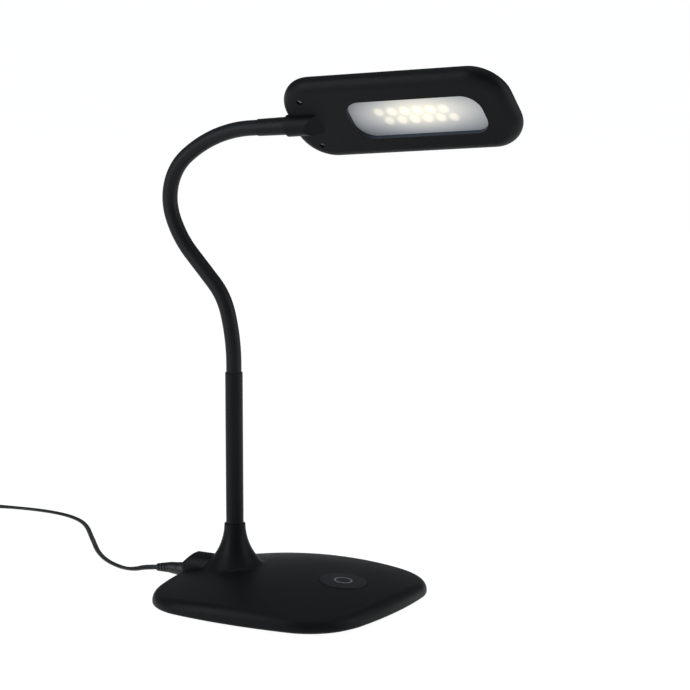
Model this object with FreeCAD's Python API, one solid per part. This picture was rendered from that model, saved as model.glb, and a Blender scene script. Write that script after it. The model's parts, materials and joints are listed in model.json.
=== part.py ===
import FreeCAD, Part
import math
import os

# Gooseneck desk lamp, in millimetres. +X runs from the neck over the button to the lamp head,
# +Z is up, and the origin is the centre of the foam pad's resting face on the table.

# Base shell: a rounded square with slightly bulged sides, a domed top and an even wall
base_half_length = 96.8
base_half_width = 95.8
base_side_radius = 380.0
base_corner_radius = 50.0
base_dome_top = 24.4
base_dome_drop = 13.39868
base_edge_round = 8.5
base_foot_round = 1.9
shell_wall = 2.2
pad_thickness = 2.0
pad_inset = 7.0
cover_thickness = 2.0
cover_gap = 0.3

# Flexible neck's sleeve, and the rigid tube that it enters
sleeve_radius = 6.15
sleeve_wall = 1.0
sleeve_clearance = 0.1
tube_wall = 0.8
tube_bore_radius = sleeve_radius + sleeve_clearance
tube_radius = tube_bore_radius + tube_wall
tube_seat_z = 24.0
tube_top_z = 180.6
tube_chamfer = 0.7
tube_fit = 0.08

# Trumpet collar round the neck tube
neck_from_back = 44.9
neck_x = neck_from_back - base_half_length
trumpet_top_z = 57.0
trumpet_rim_width = 1.45
trumpet_top_radius = tube_radius + trumpet_rim_width
trumpet_rim_round = 0.7
trumpet_flare_radius = 46.0
trumpet_flare_turn = 40.0
trumpet_wall = 2.4
trumpet_foot_z = 15.0
trumpet_foot_round = 6.0

# Housing of the power socket, behind the neck
housing_overhang = 0.7
housing_back_x = -base_half_length - housing_overhang
housing_half_width = 11.0
housing_top_z = 28.5
housing_shoulder_round = 10.0
housing_slope_z = 20.0
housing_back_round = 3.0

# Fasteners that hold the cover
cover_screw_from_end = 28.8
cover_screw_from_side = 33.8
cover_screw_x = base_half_length - cover_screw_from_end
cover_screw_y = base_half_width - cover_screw_from_side
screw_shank_radius = 1.4
post_wall = 2.4
post_radius = screw_shank_radius + post_wall
screw_head_radius = 2.8
screw_head_height = 1.4
screw_gap = 0.08
pad_hole_margin = 1.8
pad_hole_radius = screw_head_radius + pad_hole_margin

# Counterweight and the tape under it
tape_thickness = 0.5
weight_thickness = 4.0
weight_inset = 15.0
weight_clearance = 1.6
weight_corner_round = 3.0
tape_strip_starts = (-38.0, -5.0)
tape_strip_width = 20.0
tape_strip_half_length = 50.0

# Power board and socket
board_thickness = 1.6
board_rib_height = 0.4
board_rib_width = 2.0
board_rib_half_length = 6.0
board_rib_inset = 4.0
board_corner_round = 3.0
chip_height = 1.6
choke_radius = 2.8
choke_height = 3.6
capacitor_radius = 2.2
capacitor_height = 5.2
power_board_length = 28.0
power_board_clearance = 0.5
power_board_half_width = housing_half_width - shell_wall - power_board_clearance
socket_axis_z = 12.0
socket_length = 14.0
socket_wall = 1.4
socket_round = 1.5
socket_end_wall = 2.5
socket_pin_inset = 1.2
barrel_radius = 2.75
barrel_bore_radius = 1.25
barrel_clearance = 0.35
barrel_pin_clearance = 0.25
socket_bore_radius = barrel_radius + barrel_clearance
socket_pin_radius = barrel_bore_radius - barrel_pin_clearance
socket_half_width = socket_bore_radius + socket_wall
socket_window_margin = 0.8
socket_window_radius = socket_bore_radius + socket_window_margin

# Button, its guide and its switch
button_x = 48.7
button_radius = 19.2
button_gap = 0.35
button_proud = 0.5
button_plate = 2.0
button_rim_round = 0.5
button_skirt = 1.6
button_post_radius = 3.2
button_flange_lip = 1.4
button_flange_radius = button_radius + button_flange_lip
button_flange_thickness = 1.2
button_flange_clearance = 0.6
guide_wall = 3.6
guide_radius = button_flange_radius + button_flange_clearance
guide_outer_radius = guide_radius + guide_wall
guide_depth = 10.0
ring_radius = 6.7
ring_width = 1.5
ring_depth = 0.6
ring_proud = 0.05
switch_size = 6.0
switch_height = 3.6
plunger_radius = 1.7
plunger_height = 1.2
plunger_in_switch = 1.2
switch_chamfer = 0.3
switch_screw_radius = 0.9
switch_screw_length = 5.0
switch_screw_head_radius = 1.6
switch_screw_head_height = 0.9

# Stud and nut that hold the neck tube
stud_radius = 5.0
stud_bore_radius = 3.2
stud_in_tube = 14.0
stud_below_nut = 1.5
stud_chamfer = 0.6
neck_seat_z = 18.6
neck_boss_wall = 2.75
neck_boss_radius = tube_radius + neck_boss_wall
neck_boss_below_rim = 14.0
washer_radius = 10.0
washer_thickness = 1.2
washer_clearance = 0.15
nut_across_flats = 17.0
nut_height = 5.0

# Flexible neck: the run of its centre line above the tube, as straight lengths and bends
# (radius, degrees to the left seen from the front), then split into jointed links
head_pitch = 5.9
neck_first_run = 6.3
neck_bends = ((160.0, 14.9), (54.5, 28.5))
neck_middle_run = 30.4
neck_over_bends = ((80.0, -23.5), (45.0, -69.5))
neck_last_radius = 110.0
neck_last_run = 7.8
neck_in_tube = 12.0
neck_in_ferrule = 10.0
link_pivots = (24.0, 72.0, 120.0, 168.0, 216.0)
sleeve_fit = 0.05
core_radius = sleeve_radius - sleeve_wall - sleeve_fit
core_bore_radius = 3.0
ball_inset = 0.15
ball_clearance = 0.6
ball_radius = sleeve_radius - ball_inset
ball_collar_inset = 2.8
ball_collar = ball_radius - ball_collar_inset
cup_radius = ball_radius + ball_clearance
cup_floor = 1.4
cup_length = cup_radius + cup_floor
ball_mouth = 0.4
end_gap = 0.06

# Ferrule and swivel
ferrule_length = 27.3
ferrule_wall = 0.6
ferrule_swell = 0.35
ferrule_mouth_radius = sleeve_radius + ferrule_wall
ferrule_radius = ferrule_mouth_radius + ferrule_swell
ferrule_bore_radius = 3.5
ferrule_chamfer = 0.3
journal_chamfer = 0.5
swivel_gap = 0.3
journal_step = 1.0
journal_radius = ferrule_radius - journal_step
journal_fit = 0.06
journal_length = 10.5
boss_overhang = 0.0
collar_end = 5.0
swivel_washer_thickness = 0.8
clip_thickness = 1.0
clip_width = 1.2
clip_radius = journal_radius + clip_width
clip_half_gap = 1.6
chamber_clearance = 0.5
chamber_radius = clip_radius + chamber_clearance
chamber_end = 10.6
boss_wall = 0.9
boss_radius = chamber_radius + boss_wall
boss_crest_end = 17.0
boss_foot_end = 29.0
lead_window_from_foot = 5.0
lead_window_end = boss_foot_end - lead_window_from_foot
lead_window_half_width = 6.2
lead_window_depth = 1.6

# Head, in its own frame: s along the head from its rear end, t across, u from the light side in
head_length = 195.2
head_width = 78.2
head_corner_radius = 29.0
head_thickness = 14.5
head_light_round = 8.8
head_back_round = 5.0
head_parting = 9.2
head_wall = 2.0
head_roll = 51.2
window_start = 55.3
window_from_tip = 23.3
window_from_side = 19.7
window_end = head_length - window_from_tip
window_half_width = head_width / 2 - window_from_side
window_corner_radius = 15.0
window_well_depth = 4.0
window_well_wall = 1.8
diffuser_thickness = 2.0
diffuser_lap = 1.5
led_from_start = 25.6
led_from_end = 29.07
leds_per_row = 6
led_first = window_start + led_from_start
led_pitch = (window_end - led_from_end - led_first) / (leds_per_row - 0.5)
led_row_half_gap = 4.6
led_length = 3.5
led_width = 2.8
led_height = 0.8
led_board_from_start = 14.7
led_board_from_end = 14.9
led_board_from_side = 5.4
led_board_start = window_start + led_board_from_start
led_board_end = window_end - led_board_from_end
led_board_half_width = window_half_width - led_board_from_side
head_screw_s = 19.8
head_screw_from_side = 16.2
head_screw_t = head_width / 2 - head_screw_from_side
head_screw_recess_radius = 2.2
head_screw_recess_depth = 1.5
head_screw_head_radius = 1.9
head_screw_shank_radius = 1.0
head_post_radius = 3.2
head_seat_height = 5.0
head_screw_hole_depth = 3.0
head_screw_end_gap = 1.0
head_screw_hole_end = head_thickness - head_screw_hole_depth
head_screw_length = head_screw_hole_end - head_screw_end_gap - head_screw_recess_depth - 1
head_screw_head_height = 1.0
head_screw_slot_half_length = 1.1
head_screw_slot_half_width = 0.2
head_screw_slot_depth = 0.5
press_peg_radius = 2.0
press_peg_inset = 4.0
press_peg_t = 11.0

# Power lead: plug, cord, coil and wall adapter
plug_front_x = housing_back_x - 0.1
plug_length = 16.9
plug_radius = 5.6
plug_rear_radius = 4.55
plug_edge_round = 0.4
plug_collar_length = 7.0
plug_step_length = 2.0
plug_step = 0.35
relief_length = 12.0
relief_droop = 6.5
relief_step = 0.15
relief_radius = plug_rear_radius - relief_step
relief_end_wall = 1.1
relief_groove = 0.9
relief_first_groove = 2.6
relief_core_skin = 0.25
relief_ribs = 3
barrel_length = 9.5
barrel_in_plug = 4.0
barrel_chamfer = 0.3
barrel_fit = 0.02
cord_diameter = 4.2
cord_floor_gap = 0.05
relief_end_radius = cord_diameter / 2 + relief_end_wall
coil_centre = (-460.0, 85.0)
coil_outer_radius = 32.4
coil_gap = 0.55
coil_pitch = cord_diameter + coil_gap
coil_half_turns = 6
coil_entry_angle = 110.0
coil_layer_step = coil_pitch
adapter_size = (36.0, 66.0, 28.0)
adapter_x = coil_centre[0] - 14.0
adapter_front_y = coil_centre[1] - 74.0
adapter_round = 5.0
adapter_relief_length = 18.0
adapter_relief_z = 12.0
pin_radius = 2.0
pin_spacing = 19.0
pin_length = 19.0
pin_root_radius = 1.6
pin_root_length = 5.0

V = FreeCAD.Vector
foot_z = pad_thickness
cover_top_z = foot_z + cover_thickness
UP = V(0, 0, 1)
ALONG = V(1, 0, 0)
ACROSS = V(0, 1, 0)


def save(name, shape):
    """Writes one sub-part."""
    shape.exportStep("parts/" + name + ".step")


def rod(radius, start, end):
    """Cylinder from one point to another."""
    run = end - start
    return Part.makeCylinder(radius, run.Length, start, run)


def slab(x0, x1, y0, y1, z0, z1):
    """Box from its limits."""
    return Part.makeBox(x1 - x0, y1 - y0, z1 - z0, V(x0, y0, z0))


def face_through(points_and_arcs):
    """Face bounded by lines and arcs; an arc is (start, middle, end), a line is (start, end)."""
    edges = []
    for piece in points_and_arcs:
        if len(piece) == 3:
            edges.append(Part.Arc(*piece).toShape())
        else:
            edges.append(Part.LineSegment(*piece).toShape())
    return Part.Face(Part.Wire(edges))


def union(first, others):
    """One solid from several that overlap, with the seams inside faces removed."""
    return first.fuse(others).removeSplitter()


# Base


def outline_centres(z):
    """Centres of the end's arc, the side's arc and the corner's arc between them."""
    reach = base_side_radius - base_corner_radius
    end_centre = V(base_half_length - base_side_radius, 0, z)
    side_centre = V(0, base_half_width - base_side_radius, z)
    between = side_centre - end_centre
    outward = V(-between.y, between.x, 0).normalize()
    rise = math.sqrt(reach ** 2 - (between.Length / 2) ** 2)
    return end_centre, side_centre, (end_centre + side_centre) * 0.5 + outward * rise


# The dome's radius, from how far it drops between its crown and the corners of the outline
corner_distance = outline_centres(0)[2].Length + base_corner_radius
base_dome_radius = (corner_distance ** 2 + base_dome_drop ** 2) / (2 * base_dome_drop)


def base_outline(inset, z):
    """The base's outline of four bulged sides and four corner arcs, all tangent."""
    end_centre, side_centre, corner = outline_centres(z)
    to_end = (corner - end_centre).normalize()
    to_side = (corner - side_centre).normalize()
    radius = base_corner_radius - inset
    turn_start = corner + to_end * radius
    turn_middle = corner + (to_end + to_side).normalize() * radius
    turn_end = corner + to_side * radius
    end_middle = V(base_half_length - inset, 0, z)
    side_middle = V(0, base_half_width - inset, z)
    edges = []
    for sign_x, sign_y in ((1, 1), (-1, 1), (-1, -1), (1, -1)):
        def mirrored(point, sx=sign_x, sy=sign_y):
            return V(point.x * sx, point.y * sy, z)

        a, b, c = mirrored(turn_start), mirrored(turn_middle), mirrored(turn_end)
        if sign_x * sign_y > 0:
            edges.append(Part.Arc(a, b, c).toShape())
            next_side = V(-turn_end.x * sign_x, turn_end.y * sign_y, z)
            edges.append(Part.Arc(c, mirrored(side_middle), next_side).toShape())
        else:
            edges.append(Part.Arc(c, b, a).toShape())
            next_end = V(turn_start.x * sign_x, -turn_start.y * sign_y, z)
            edges.append(Part.Arc(a, mirrored(end_middle), next_end).toShape())
    return Part.Wire(edges)


def level_edges(shape, z):
    """Edges that lie at one height."""
    found = []
    for edge in shape.Edges:
        box = edge.BoundBox
        if abs(box.ZMin - z) < 1e-4 and abs(box.ZMax - z) < 1e-4:
            found.append(edge)
    return found


def crown_edges(shape, z):
    """Edges round the domed top: neither level at z nor upright."""
    found = []
    for edge in shape.Edges:
        box = edge.BoundBox
        upright = box.XLength < 1e-3 and box.YLength < 1e-3
        if box.ZMin > z + 1 and not upright:
            found.append(edge)
    return found


def domed_block(inset, z):
    """The base's form, drawn in by inset and cut level at z."""
    block = Part.Face(base_outline(inset, z)).extrude(UP * base_dome_top * 2)
    ball = Part.makeSphere(base_dome_radius - inset, V(0, 0, base_dome_top - base_dome_radius), ALONG)
    ball.rotate(V(0, 0, base_dome_top - base_dome_radius), ALONG, 90)
    body = block.common(ball)
    return body.makeFillet(base_edge_round - inset, crown_edges(body, z))


def dome_z(x, y):
    """Height of the domed top."""
    drop = base_dome_radius - math.sqrt(base_dome_radius ** 2 - x ** 2 - y ** 2)
    return base_dome_top - drop


def neck_at(radius, z):
    """Point of a profile about the neck's upright axis."""
    return V(neck_x + radius, 0, z)


def trumpet_profile(radius, start_turn, inner_radius, foot_depth):
    """Half section of the collar: an arc that flares from the upright, then a straight slope."""
    centre_radius = trumpet_top_radius + trumpet_flare_radius
    end_turn = math.radians(trumpet_flare_turn)

    def on_arc(turn):
        return neck_at(centre_radius - radius * math.cos(turn), trumpet_top_z - radius * math.sin(turn))

    top = on_arc(start_turn)
    middle = on_arc((start_turn + end_turn) / 2)
    arc_end = on_arc(end_turn)
    drop = arc_end.z - foot_depth
    foot = neck_at(arc_end.x - neck_x + drop * math.tan(end_turn), foot_depth)
    inner_foot = neck_at(inner_radius, foot_depth)
    inner_top = neck_at(inner_radius, top.z)
    outline = [(inner_foot, foot), (foot, arc_end), (arc_end, middle, top)]
    if (top - inner_top).Length > 1e-6:
        outline.append((top, inner_top))
    outline.append((inner_top, inner_foot))
    return face_through(outline).revolve(V(neck_x, 0, 0), UP, 360)


def trumpet_solid():
    """Collar that flares out into the dome, with a rounded rim."""
    collar = trumpet_profile(trumpet_flare_radius, 0, 0, trumpet_foot_z)
    rim = [edge for edge in collar.Edges if edge.BoundBox.ZMin > trumpet_top_z - 0.01 and edge.Length > 10]
    return collar.makeFillet(trumpet_rim_round, rim)


def trumpet_hollow():
    """Ring-shaped hollow between the collar's skin and the boss that holds the tube."""
    radius = trumpet_flare_radius + trumpet_wall
    centre_radius = trumpet_top_radius + trumpet_flare_radius
    top_turn = math.acos((centre_radius - neck_boss_radius) / radius)
    return trumpet_profile(radius, top_turn, neck_boss_radius, trumpet_foot_z - shell_wall - 1)


def housing_block(inset, front_x, bottom_z):
    """Arch-shaped housing of the socket, drawn in by inset: its back is upright, then slopes at 45 degrees."""
    half = housing_half_width - inset
    top = housing_top_z - inset
    shoulder = housing_shoulder_round - inset
    back = housing_back_x + inset
    diagonal = shoulder * (1 - math.sqrt(0.5))

    def at(y, z):
        return V(back, y, z)

    profile = face_through((
        (at(-half, bottom_z), at(half, bottom_z)),
        (at(half, bottom_z), at(half, top - shoulder)),
        (at(half, top - shoulder), at(half - diagonal, top - diagonal), at(half - shoulder, top)),
        (at(half - shoulder, top), at(shoulder - half, top)),
        (at(shoulder - half, top), at(diagonal - half, top - diagonal), at(-half, top - shoulder)),
        (at(-half, top - shoulder), at(-half, bottom_z)),
    ))
    rise = housing_slope_z - housing_back_x - inset * math.sqrt(2)
    left = back - shoulder
    right = top - rise + shoulder
    wedge = face_through((
        (V(left, 0, left + rise), V(right, 0, right + rise)),
        (V(right, 0, right + rise), V(left, 0, right + rise)),
        (V(left, 0, right + rise), V(left, 0, left + rise)),
    )).extrude(ACROSS * housing_half_width * 4)
    wedge.translate(ACROSS * housing_half_width * -2)
    return profile.extrude(ALONG * (front_x - back)).cut(wedge)


def rounded_housing(front_x, bottom_z):
    """The housing's outside, with its back and its slope rounded over."""
    block = housing_block(0, front_x, bottom_z)
    slope_end = housing_back_x + housing_top_z - housing_slope_z
    back_edges = []
    for edge in block.Edges:
        box = edge.BoundBox
        if box.XMax < slope_end + 0.01 and box.ZMax > bottom_z + 1:
            back_edges.append(edge)
    return block.makeFillet(housing_back_round, back_edges)


def button_lean():
    """How far the button leans with the dome, in degrees."""
    return math.degrees(math.asin(button_x / base_dome_radius))


def button_frame():
    """Place of the button: origin on the dome, Z square to the dome there."""
    return FreeCAD.Placement(V(button_x, 0, dome_z(button_x, 0)), FreeCAD.Rotation(ACROSS, button_lean()))


def placed(shape, place):
    """A copy of a shape put into another frame."""
    moved = shape.copy()
    moved.Placement = place.multiply(shape.Placement)
    return moved


def switch_screw_points():
    """Where the switch board's three screws stand, about the button's axis."""
    radius = (guide_radius + guide_outer_radius) / 2
    points = []
    for turn in (0, 120, 240):
        points.append(V(radius * math.cos(math.radians(turn)), radius * math.sin(math.radians(turn)), 0))
    return points


def cover_screw_points():
    """Corners where the cover is screwed on."""
    return [V(cover_screw_x * sx, cover_screw_y * sy, 0) for sx in (-1, 1) for sy in (-1, 1)]


def make_base_shell():
    """Moulded top of the base, with the collar, the socket housing and all that is moulded inside."""
    body = domed_block(0, foot_z)
    body = body.makeFillet(base_foot_round, level_edges(body, foot_z))
    body = union(body, [trumpet_solid()])
    seam = []
    for edge in body.Edges:
        box = edge.BoundBox
        round_neck = box.YLength > 4 * trumpet_top_radius and box.XMin < neck_x < box.XMax
        if round_neck and box.ZMin > trumpet_foot_z and box.ZLength > 1 and abs(box.YMin + box.YMax) < 1:
            seam.append(edge)
    body = body.makeFillet(trumpet_foot_round, seam)
    body = body.fuse([rounded_housing(neck_x, foot_z)])
    hollow = domed_block(shell_wall, foot_z)
    hollow = hollow.fuse([
        Part.Face(base_outline(shell_wall, foot_z)).extrude(UP * -foot_z),
        housing_block(shell_wall, neck_x, foot_z),
        trumpet_hollow(),
    ])
    shell = body.cut(hollow)
    boss = rod(neck_boss_radius, V(neck_x, 0, neck_seat_z), V(neck_x, 0, trumpet_top_z - neck_boss_below_rim))
    guide = placed(rod(guide_outer_radius, V(0, 0, -guide_depth), V(0, 0, -shell_wall / 2)), button_frame())
    posts = []
    for point in cover_screw_points():
        top = dome_z(point.x, point.y) - shell_wall / 2
        posts.append(rod(post_radius, point + UP * cover_top_z, V(point.x, point.y, top)))
    shell = shell.fuse([boss, guide] + posts)
    cuts = [
        rod(tube_radius + tube_fit, V(neck_x, 0, tube_seat_z), V(neck_x, 0, trumpet_top_z + 1)),
        rod(stud_radius + tube_fit, V(neck_x, 0, neck_seat_z - 1), V(neck_x, 0, tube_seat_z + 1)),
        rod(washer_radius + washer_clearance, V(neck_x, 0, foot_z), V(neck_x, 0, neck_seat_z)),
        rod(socket_window_radius, V(housing_back_x - 1, 0, socket_axis_z),
            V(housing_back_x + shell_wall + 1, 0, socket_axis_z)),
        placed(rod(button_radius + button_gap, V(0, 0, -guide_depth - 1), V(0, 0, 5)), button_frame()),
        placed(rod(guide_radius, V(0, 0, -guide_depth - 1), V(0, 0, -shell_wall)), button_frame()),
    ]
    for point in cover_screw_points():
        top = dome_z(point.x, point.y) - shell_wall - 0.6
        cuts.append(rod(screw_shank_radius + screw_gap, point + UP * foot_z, V(point.x, point.y, top)))
    for point in switch_screw_points():
        hole = rod(switch_screw_radius + screw_gap, point - UP * (guide_depth + 1), point - UP * 4)
        cuts.append(placed(hole, button_frame()))
    return shell.cut(cuts)


def make_base_cover():
    """Flat moulded cover that closes the base, with two ribs under the power board."""
    plate = Part.Face(base_outline(shell_wall + cover_gap, foot_z)).extrude(UP * cover_thickness)
    ribs = []
    start = housing_back_x + shell_wall + board_rib_inset
    for x in (start, start + power_board_length - 10):
        ribs.append(slab(x, x + board_rib_width, -board_rib_half_length, board_rib_half_length,
                         cover_top_z - cover_thickness / 4, cover_top_z + board_rib_height))
    plate = union(plate, ribs)
    holes = []
    for point in cover_screw_points():
        holes.append(rod(screw_shank_radius + screw_gap, point + UP * (foot_z - 1),
                         point + UP * (cover_top_z + 1)))
    return plate.cut(holes)


def make_foam_pad():
    """Die-cut foam pad with holes over the cover screws."""
    pad = Part.Face(base_outline(pad_inset, 0)).extrude(UP * pad_thickness)
    holes = [rod(pad_hole_radius, point - UP, point + UP * 5) for point in cover_screw_points()]
    return pad.cut(holes)


def pan_screw(point, seat_z, length, shank, head, height, direction):
    """Pan-head screw: its head below seat_z, its shank going the way of direction."""
    base = V(point.x, point.y, seat_z)
    dome_gap = height * 0.35
    shape = union(rod(shank, base - direction * 0.2, base + direction * length),
                  [rod(head, base - direction * height, base)])
    rim = []
    for edge in shape.Edges:
        low = (edge.CenterOfMass - base).dot(direction)
        if low < -height + 0.01 and edge.BoundBox.DiagonalLength > head:
            rim.append(edge)
    return shape.makeFillet(dome_gap, rim)


def make_cover_screws():
    """The four screws that hold the cover."""
    screws = []
    for point in cover_screw_points():
        length = dome_z(point.x, point.y) - shell_wall - 2 - foot_z
        screws.append(pan_screw(point, foot_z, length, screw_shank_radius, screw_head_radius,
                                screw_head_height, UP))
    return Part.makeCompound(screws)


def make_weight():
    """Steel counterweight, cut out round the screw posts, the power board and the switch board."""
    bottom = cover_top_z + tape_thickness
    plate = Part.Face(base_outline(weight_inset, bottom)).extrude(UP * weight_thickness)
    cuts = []
    for point in cover_screw_points():
        cuts.append(rod(post_radius + weight_clearance, point, point + UP * 40))
    slot_half = power_board_half_width + weight_clearance
    slot_front = neck_x + neck_boss_radius
    cuts.append(slab(-base_half_length, slot_front, -slot_half, slot_half, 0, 40))
    guide_foot_x = button_x - guide_depth * math.tan(math.radians(button_lean()))
    clear = guide_outer_radius + weight_clearance * 1.5
    cuts.append(rod(clear, V(guide_foot_x, 0, 0), V(guide_foot_x, 0, base_dome_top)))
    plate = plate.cut(cuts)
    corners = [edge for edge in plate.Edges if edge.BoundBox.ZLength > weight_thickness - 0.01
               and abs(edge.BoundBox.XMin - slot_front) < 0.01]
    return plate.makeFillet(weight_corner_round, corners)


def make_weight_tape():
    """Two strips of double-sided tape between the cover and the weight."""
    strips = []
    for x in tape_strip_starts:
        strips.append(slab(x, x + tape_strip_width, -tape_strip_half_length, tape_strip_half_length,
                           cover_top_z, cover_top_z + tape_thickness))
    return Part.makeCompound(strips)


def board_x():
    """Where the power board starts, just inside the housing's back wall."""
    return housing_back_x + shell_wall + 0.3


def board_z():
    """Underside of the power board."""
    return cover_top_z + board_rib_height


def make_power_board():
    """Power board, with rounded corners."""
    board = slab(board_x(), board_x() + power_board_length, -power_board_half_width, power_board_half_width,
                 board_z(), board_z() + board_thickness)
    corners = [edge for edge in board.Edges if edge.BoundBox.ZLength > board_thickness - 0.01]
    return board.makeFillet(board_corner_round, corners)


def make_board_parts():
    """Driver chip, coil and capacitor on the power board."""
    top = board_z() + board_thickness
    x = board_x() + socket_length + 2
    chip = slab(x, x + 5, -6.5, -2.6, top, top + chip_height)
    choke = rod(choke_radius, V(x + 8.2, -4, top), V(x + 8.2, -4, top + choke_height))
    capacitor = rod(capacitor_radius, V(x + 2.6, 1, top), V(x + 2.6, 1, top + capacitor_height))
    return Part.makeCompound([chip, choke, capacitor])


def make_socket():
    """Power socket: block with a stepped barrel opening, round front and centre pin."""
    top = board_z() + board_thickness
    x = board_x()
    block = slab(x, x + socket_length, -socket_half_width, socket_half_width, top,
                 socket_axis_z + socket_half_width)
    upper = [edge for edge in block.Edges
             if edge.BoundBox.XLength > socket_length - 0.01 and edge.BoundBox.ZMin > top + 1]
    block = block.makeFillet(socket_round, upper)
    mouth_end = x + socket_length - socket_end_wall
    mouth = rod(socket_bore_radius, V(x - 1, 0, socket_axis_z), V(mouth_end, 0, socket_axis_z))
    pin = rod(socket_pin_radius, V(x + socket_pin_inset, 0, socket_axis_z), V(mouth_end + 1, 0, socket_axis_z))
    return union(block.cut(mouth), [pin])


def make_button_cap():
    """Round cap whose top follows the dome, with a retaining flange and a post over the switch."""
    skin = button_plate
    ball = Part.makeSphere(base_dome_radius, V(0, 0, -base_dome_radius + button_proud), ALONG)
    disc = rod(button_radius, V(0, 0, -skin - button_skirt), V(0, 0, 3)).common(ball)
    rim = [edge for edge in disc.Edges if edge.BoundBox.ZMin > -1 and edge.BoundBox.DiagonalLength > 20]
    disc = disc.makeFillet(button_rim_round, rim)
    flange_top = -shell_wall - button_gap - 0.25
    flange = rod(button_flange_radius, V(0, 0, flange_top - button_flange_thickness), V(0, 0, flange_top))
    cap = union(disc, [flange])
    under = rod(button_radius - 2, V(0, 0, -8), V(0, 0, -skin))
    cap = cap.cut(under)
    post = rod(button_post_radius, V(0, 0, plunger_top()), V(0, 0, -skin + 0.5))
    cap = union(cap, [post])
    groove = rod(ring_radius + ring_width / 2, V(0, 0, button_proud - ring_depth), V(0, 0, 3)).cut(
        rod(ring_radius - ring_width / 2, V(0, 0, button_proud - ring_depth - 1), V(0, 0, 4)))
    return placed(cap.cut(groove), button_frame())


def make_button_ring():
    """Inlaid ring on the cap."""
    gap = 0.04
    bottom = button_proud - ring_depth
    outer = rod(ring_radius + ring_width / 2 - gap, V(0, 0, bottom), V(0, 0, button_proud + ring_proud))
    inner = rod(ring_radius - ring_width / 2 + gap, V(0, 0, bottom - 1), V(0, 0, 4))
    return placed(outer.cut(inner), button_frame())


def plunger_top():
    """Height of the plunger's tip, measured from the dome along the button's axis."""
    return -guide_depth + switch_height + plunger_height


def make_switch():
    """Push switch body."""
    half = switch_size / 2
    body = slab(-half, half, -half, half, -guide_depth, -guide_depth + switch_height)
    body = body.makeChamfer(switch_chamfer, level_edges(body, -guide_depth + switch_height))
    well = rod(plunger_radius + 0.1, V(0, 0, -guide_depth + 1), V(0, 0, 0))
    return placed(body.cut(well), button_frame())


def make_plunger():
    """The switch's plunger, which the cap's post stands on."""
    low = -guide_depth + switch_height - plunger_in_switch
    return placed(rod(plunger_radius, V(0, 0, low), V(0, 0, plunger_top())), button_frame())


def make_switch_board():
    """Round board screwed to the guide's end."""
    low = -guide_depth - board_thickness
    disc = rod(guide_outer_radius, V(0, 0, low), V(0, 0, -guide_depth))
    holes = []
    for point in switch_screw_points():
        holes.append(rod(switch_screw_radius + screw_gap, point + UP * (low - 1),
                         point + UP * (1 - guide_depth)))
    return placed(disc.cut(holes), button_frame())


def make_switch_screws():
    """Three small screws that hold the switch board."""
    screws = []
    for point in switch_screw_points():
        screws.append(pan_screw(point, -guide_depth - board_thickness, switch_screw_length, switch_screw_radius,
                                switch_screw_head_radius, switch_screw_head_height, UP))
    return placed(Part.makeCompound(screws), button_frame())


# Neck


def make_neck_tube():
    """Rigid tube under the flexible neck, bevelled at its top."""
    outer = rod(tube_radius, V(neck_x, 0, tube_seat_z), V(neck_x, 0, tube_top_z))
    outer = outer.makeChamfer(tube_chamfer, level_edges(outer, tube_top_z))
    inner = rod(tube_bore_radius, V(neck_x, 0, tube_seat_z - 1), V(neck_x, 0, tube_top_z + 1))
    return outer.cut(inner)


def make_neck_stud():
    """Hollow stud in the tube's foot that passes through the shell to the nut."""
    low = neck_seat_z - washer_thickness - nut_height - stud_below_nut
    upper = rod(tube_bore_radius - 0.02, V(neck_x, 0, tube_seat_z + 0.02),
                V(neck_x, 0, tube_seat_z + stud_in_tube))
    lower = rod(stud_radius, V(neck_x, 0, low), V(neck_x, 0, tube_seat_z + 1))
    body = union(upper, [lower])
    body = body.makeChamfer(stud_chamfer, level_edges(body, low))
    return body.cut(rod(stud_bore_radius, V(neck_x, 0, low - 1), V(neck_x, 0, tube_seat_z + 20)))


def make_neck_washer():
    """Flat washer under the shell's seat."""
    top = V(neck_x, 0, neck_seat_z)
    disc = rod(washer_radius, top - UP * washer_thickness, top)
    return disc.cut(rod(stud_radius + washer_clearance, top - UP * 5, top + UP * 5))


def make_neck_nut():
    """Hexagon nut with bevelled corners."""
    top = neck_seat_z - washer_thickness
    corner = nut_across_flats / math.sqrt(3)
    points = [V(neck_x + corner * math.cos(math.radians(60 * k)), corner * math.sin(math.radians(60 * k)),
                top - nut_height) for k in range(7)]
    nut = Part.Face(Part.makePolygon(points)).extrude(UP * nut_height)
    cone = Part.makeCone(corner * 0.93, corner * 0.93 + nut_height, nut_height,
                         V(neck_x, 0, top - nut_height), UP)
    return nut.common(cone).cut(rod(stud_radius + 0.05, V(neck_x, 0, 0), V(neck_x, 0, top + 1)))


def neck_pieces():
    """The neck's centre line as (start length, end length, start point, start angle, curvature)."""
    bends = list(neck_bends) + [None] + list(neck_over_bends)
    turned = sum(bend[1] for bend in bends if bend)
    last_turn = head_pitch - 90 - turned
    runs = [(neck_first_run + neck_in_tube, 0.0)]
    for bend in bends:
        if bend is None:
            runs.append((neck_middle_run, 0.0))
        else:
            runs.append((bend[0] * math.radians(abs(bend[1])), math.copysign(1 / bend[0], bend[1])))
    runs.append((neck_last_radius * math.radians(abs(last_turn)), -1 / neck_last_radius))
    runs.append((neck_last_run + neck_in_ferrule, 0.0))
    pieces = []
    length = -neck_in_tube
    point = V(neck_x, 0, tube_top_z - neck_in_tube)
    angle = math.pi / 2
    for run, curvature in runs:
        pieces.append((length, length + run, point, angle, curvature))
        point, angle = step_along(point, angle, curvature, run)
        length += run
    return pieces


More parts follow.
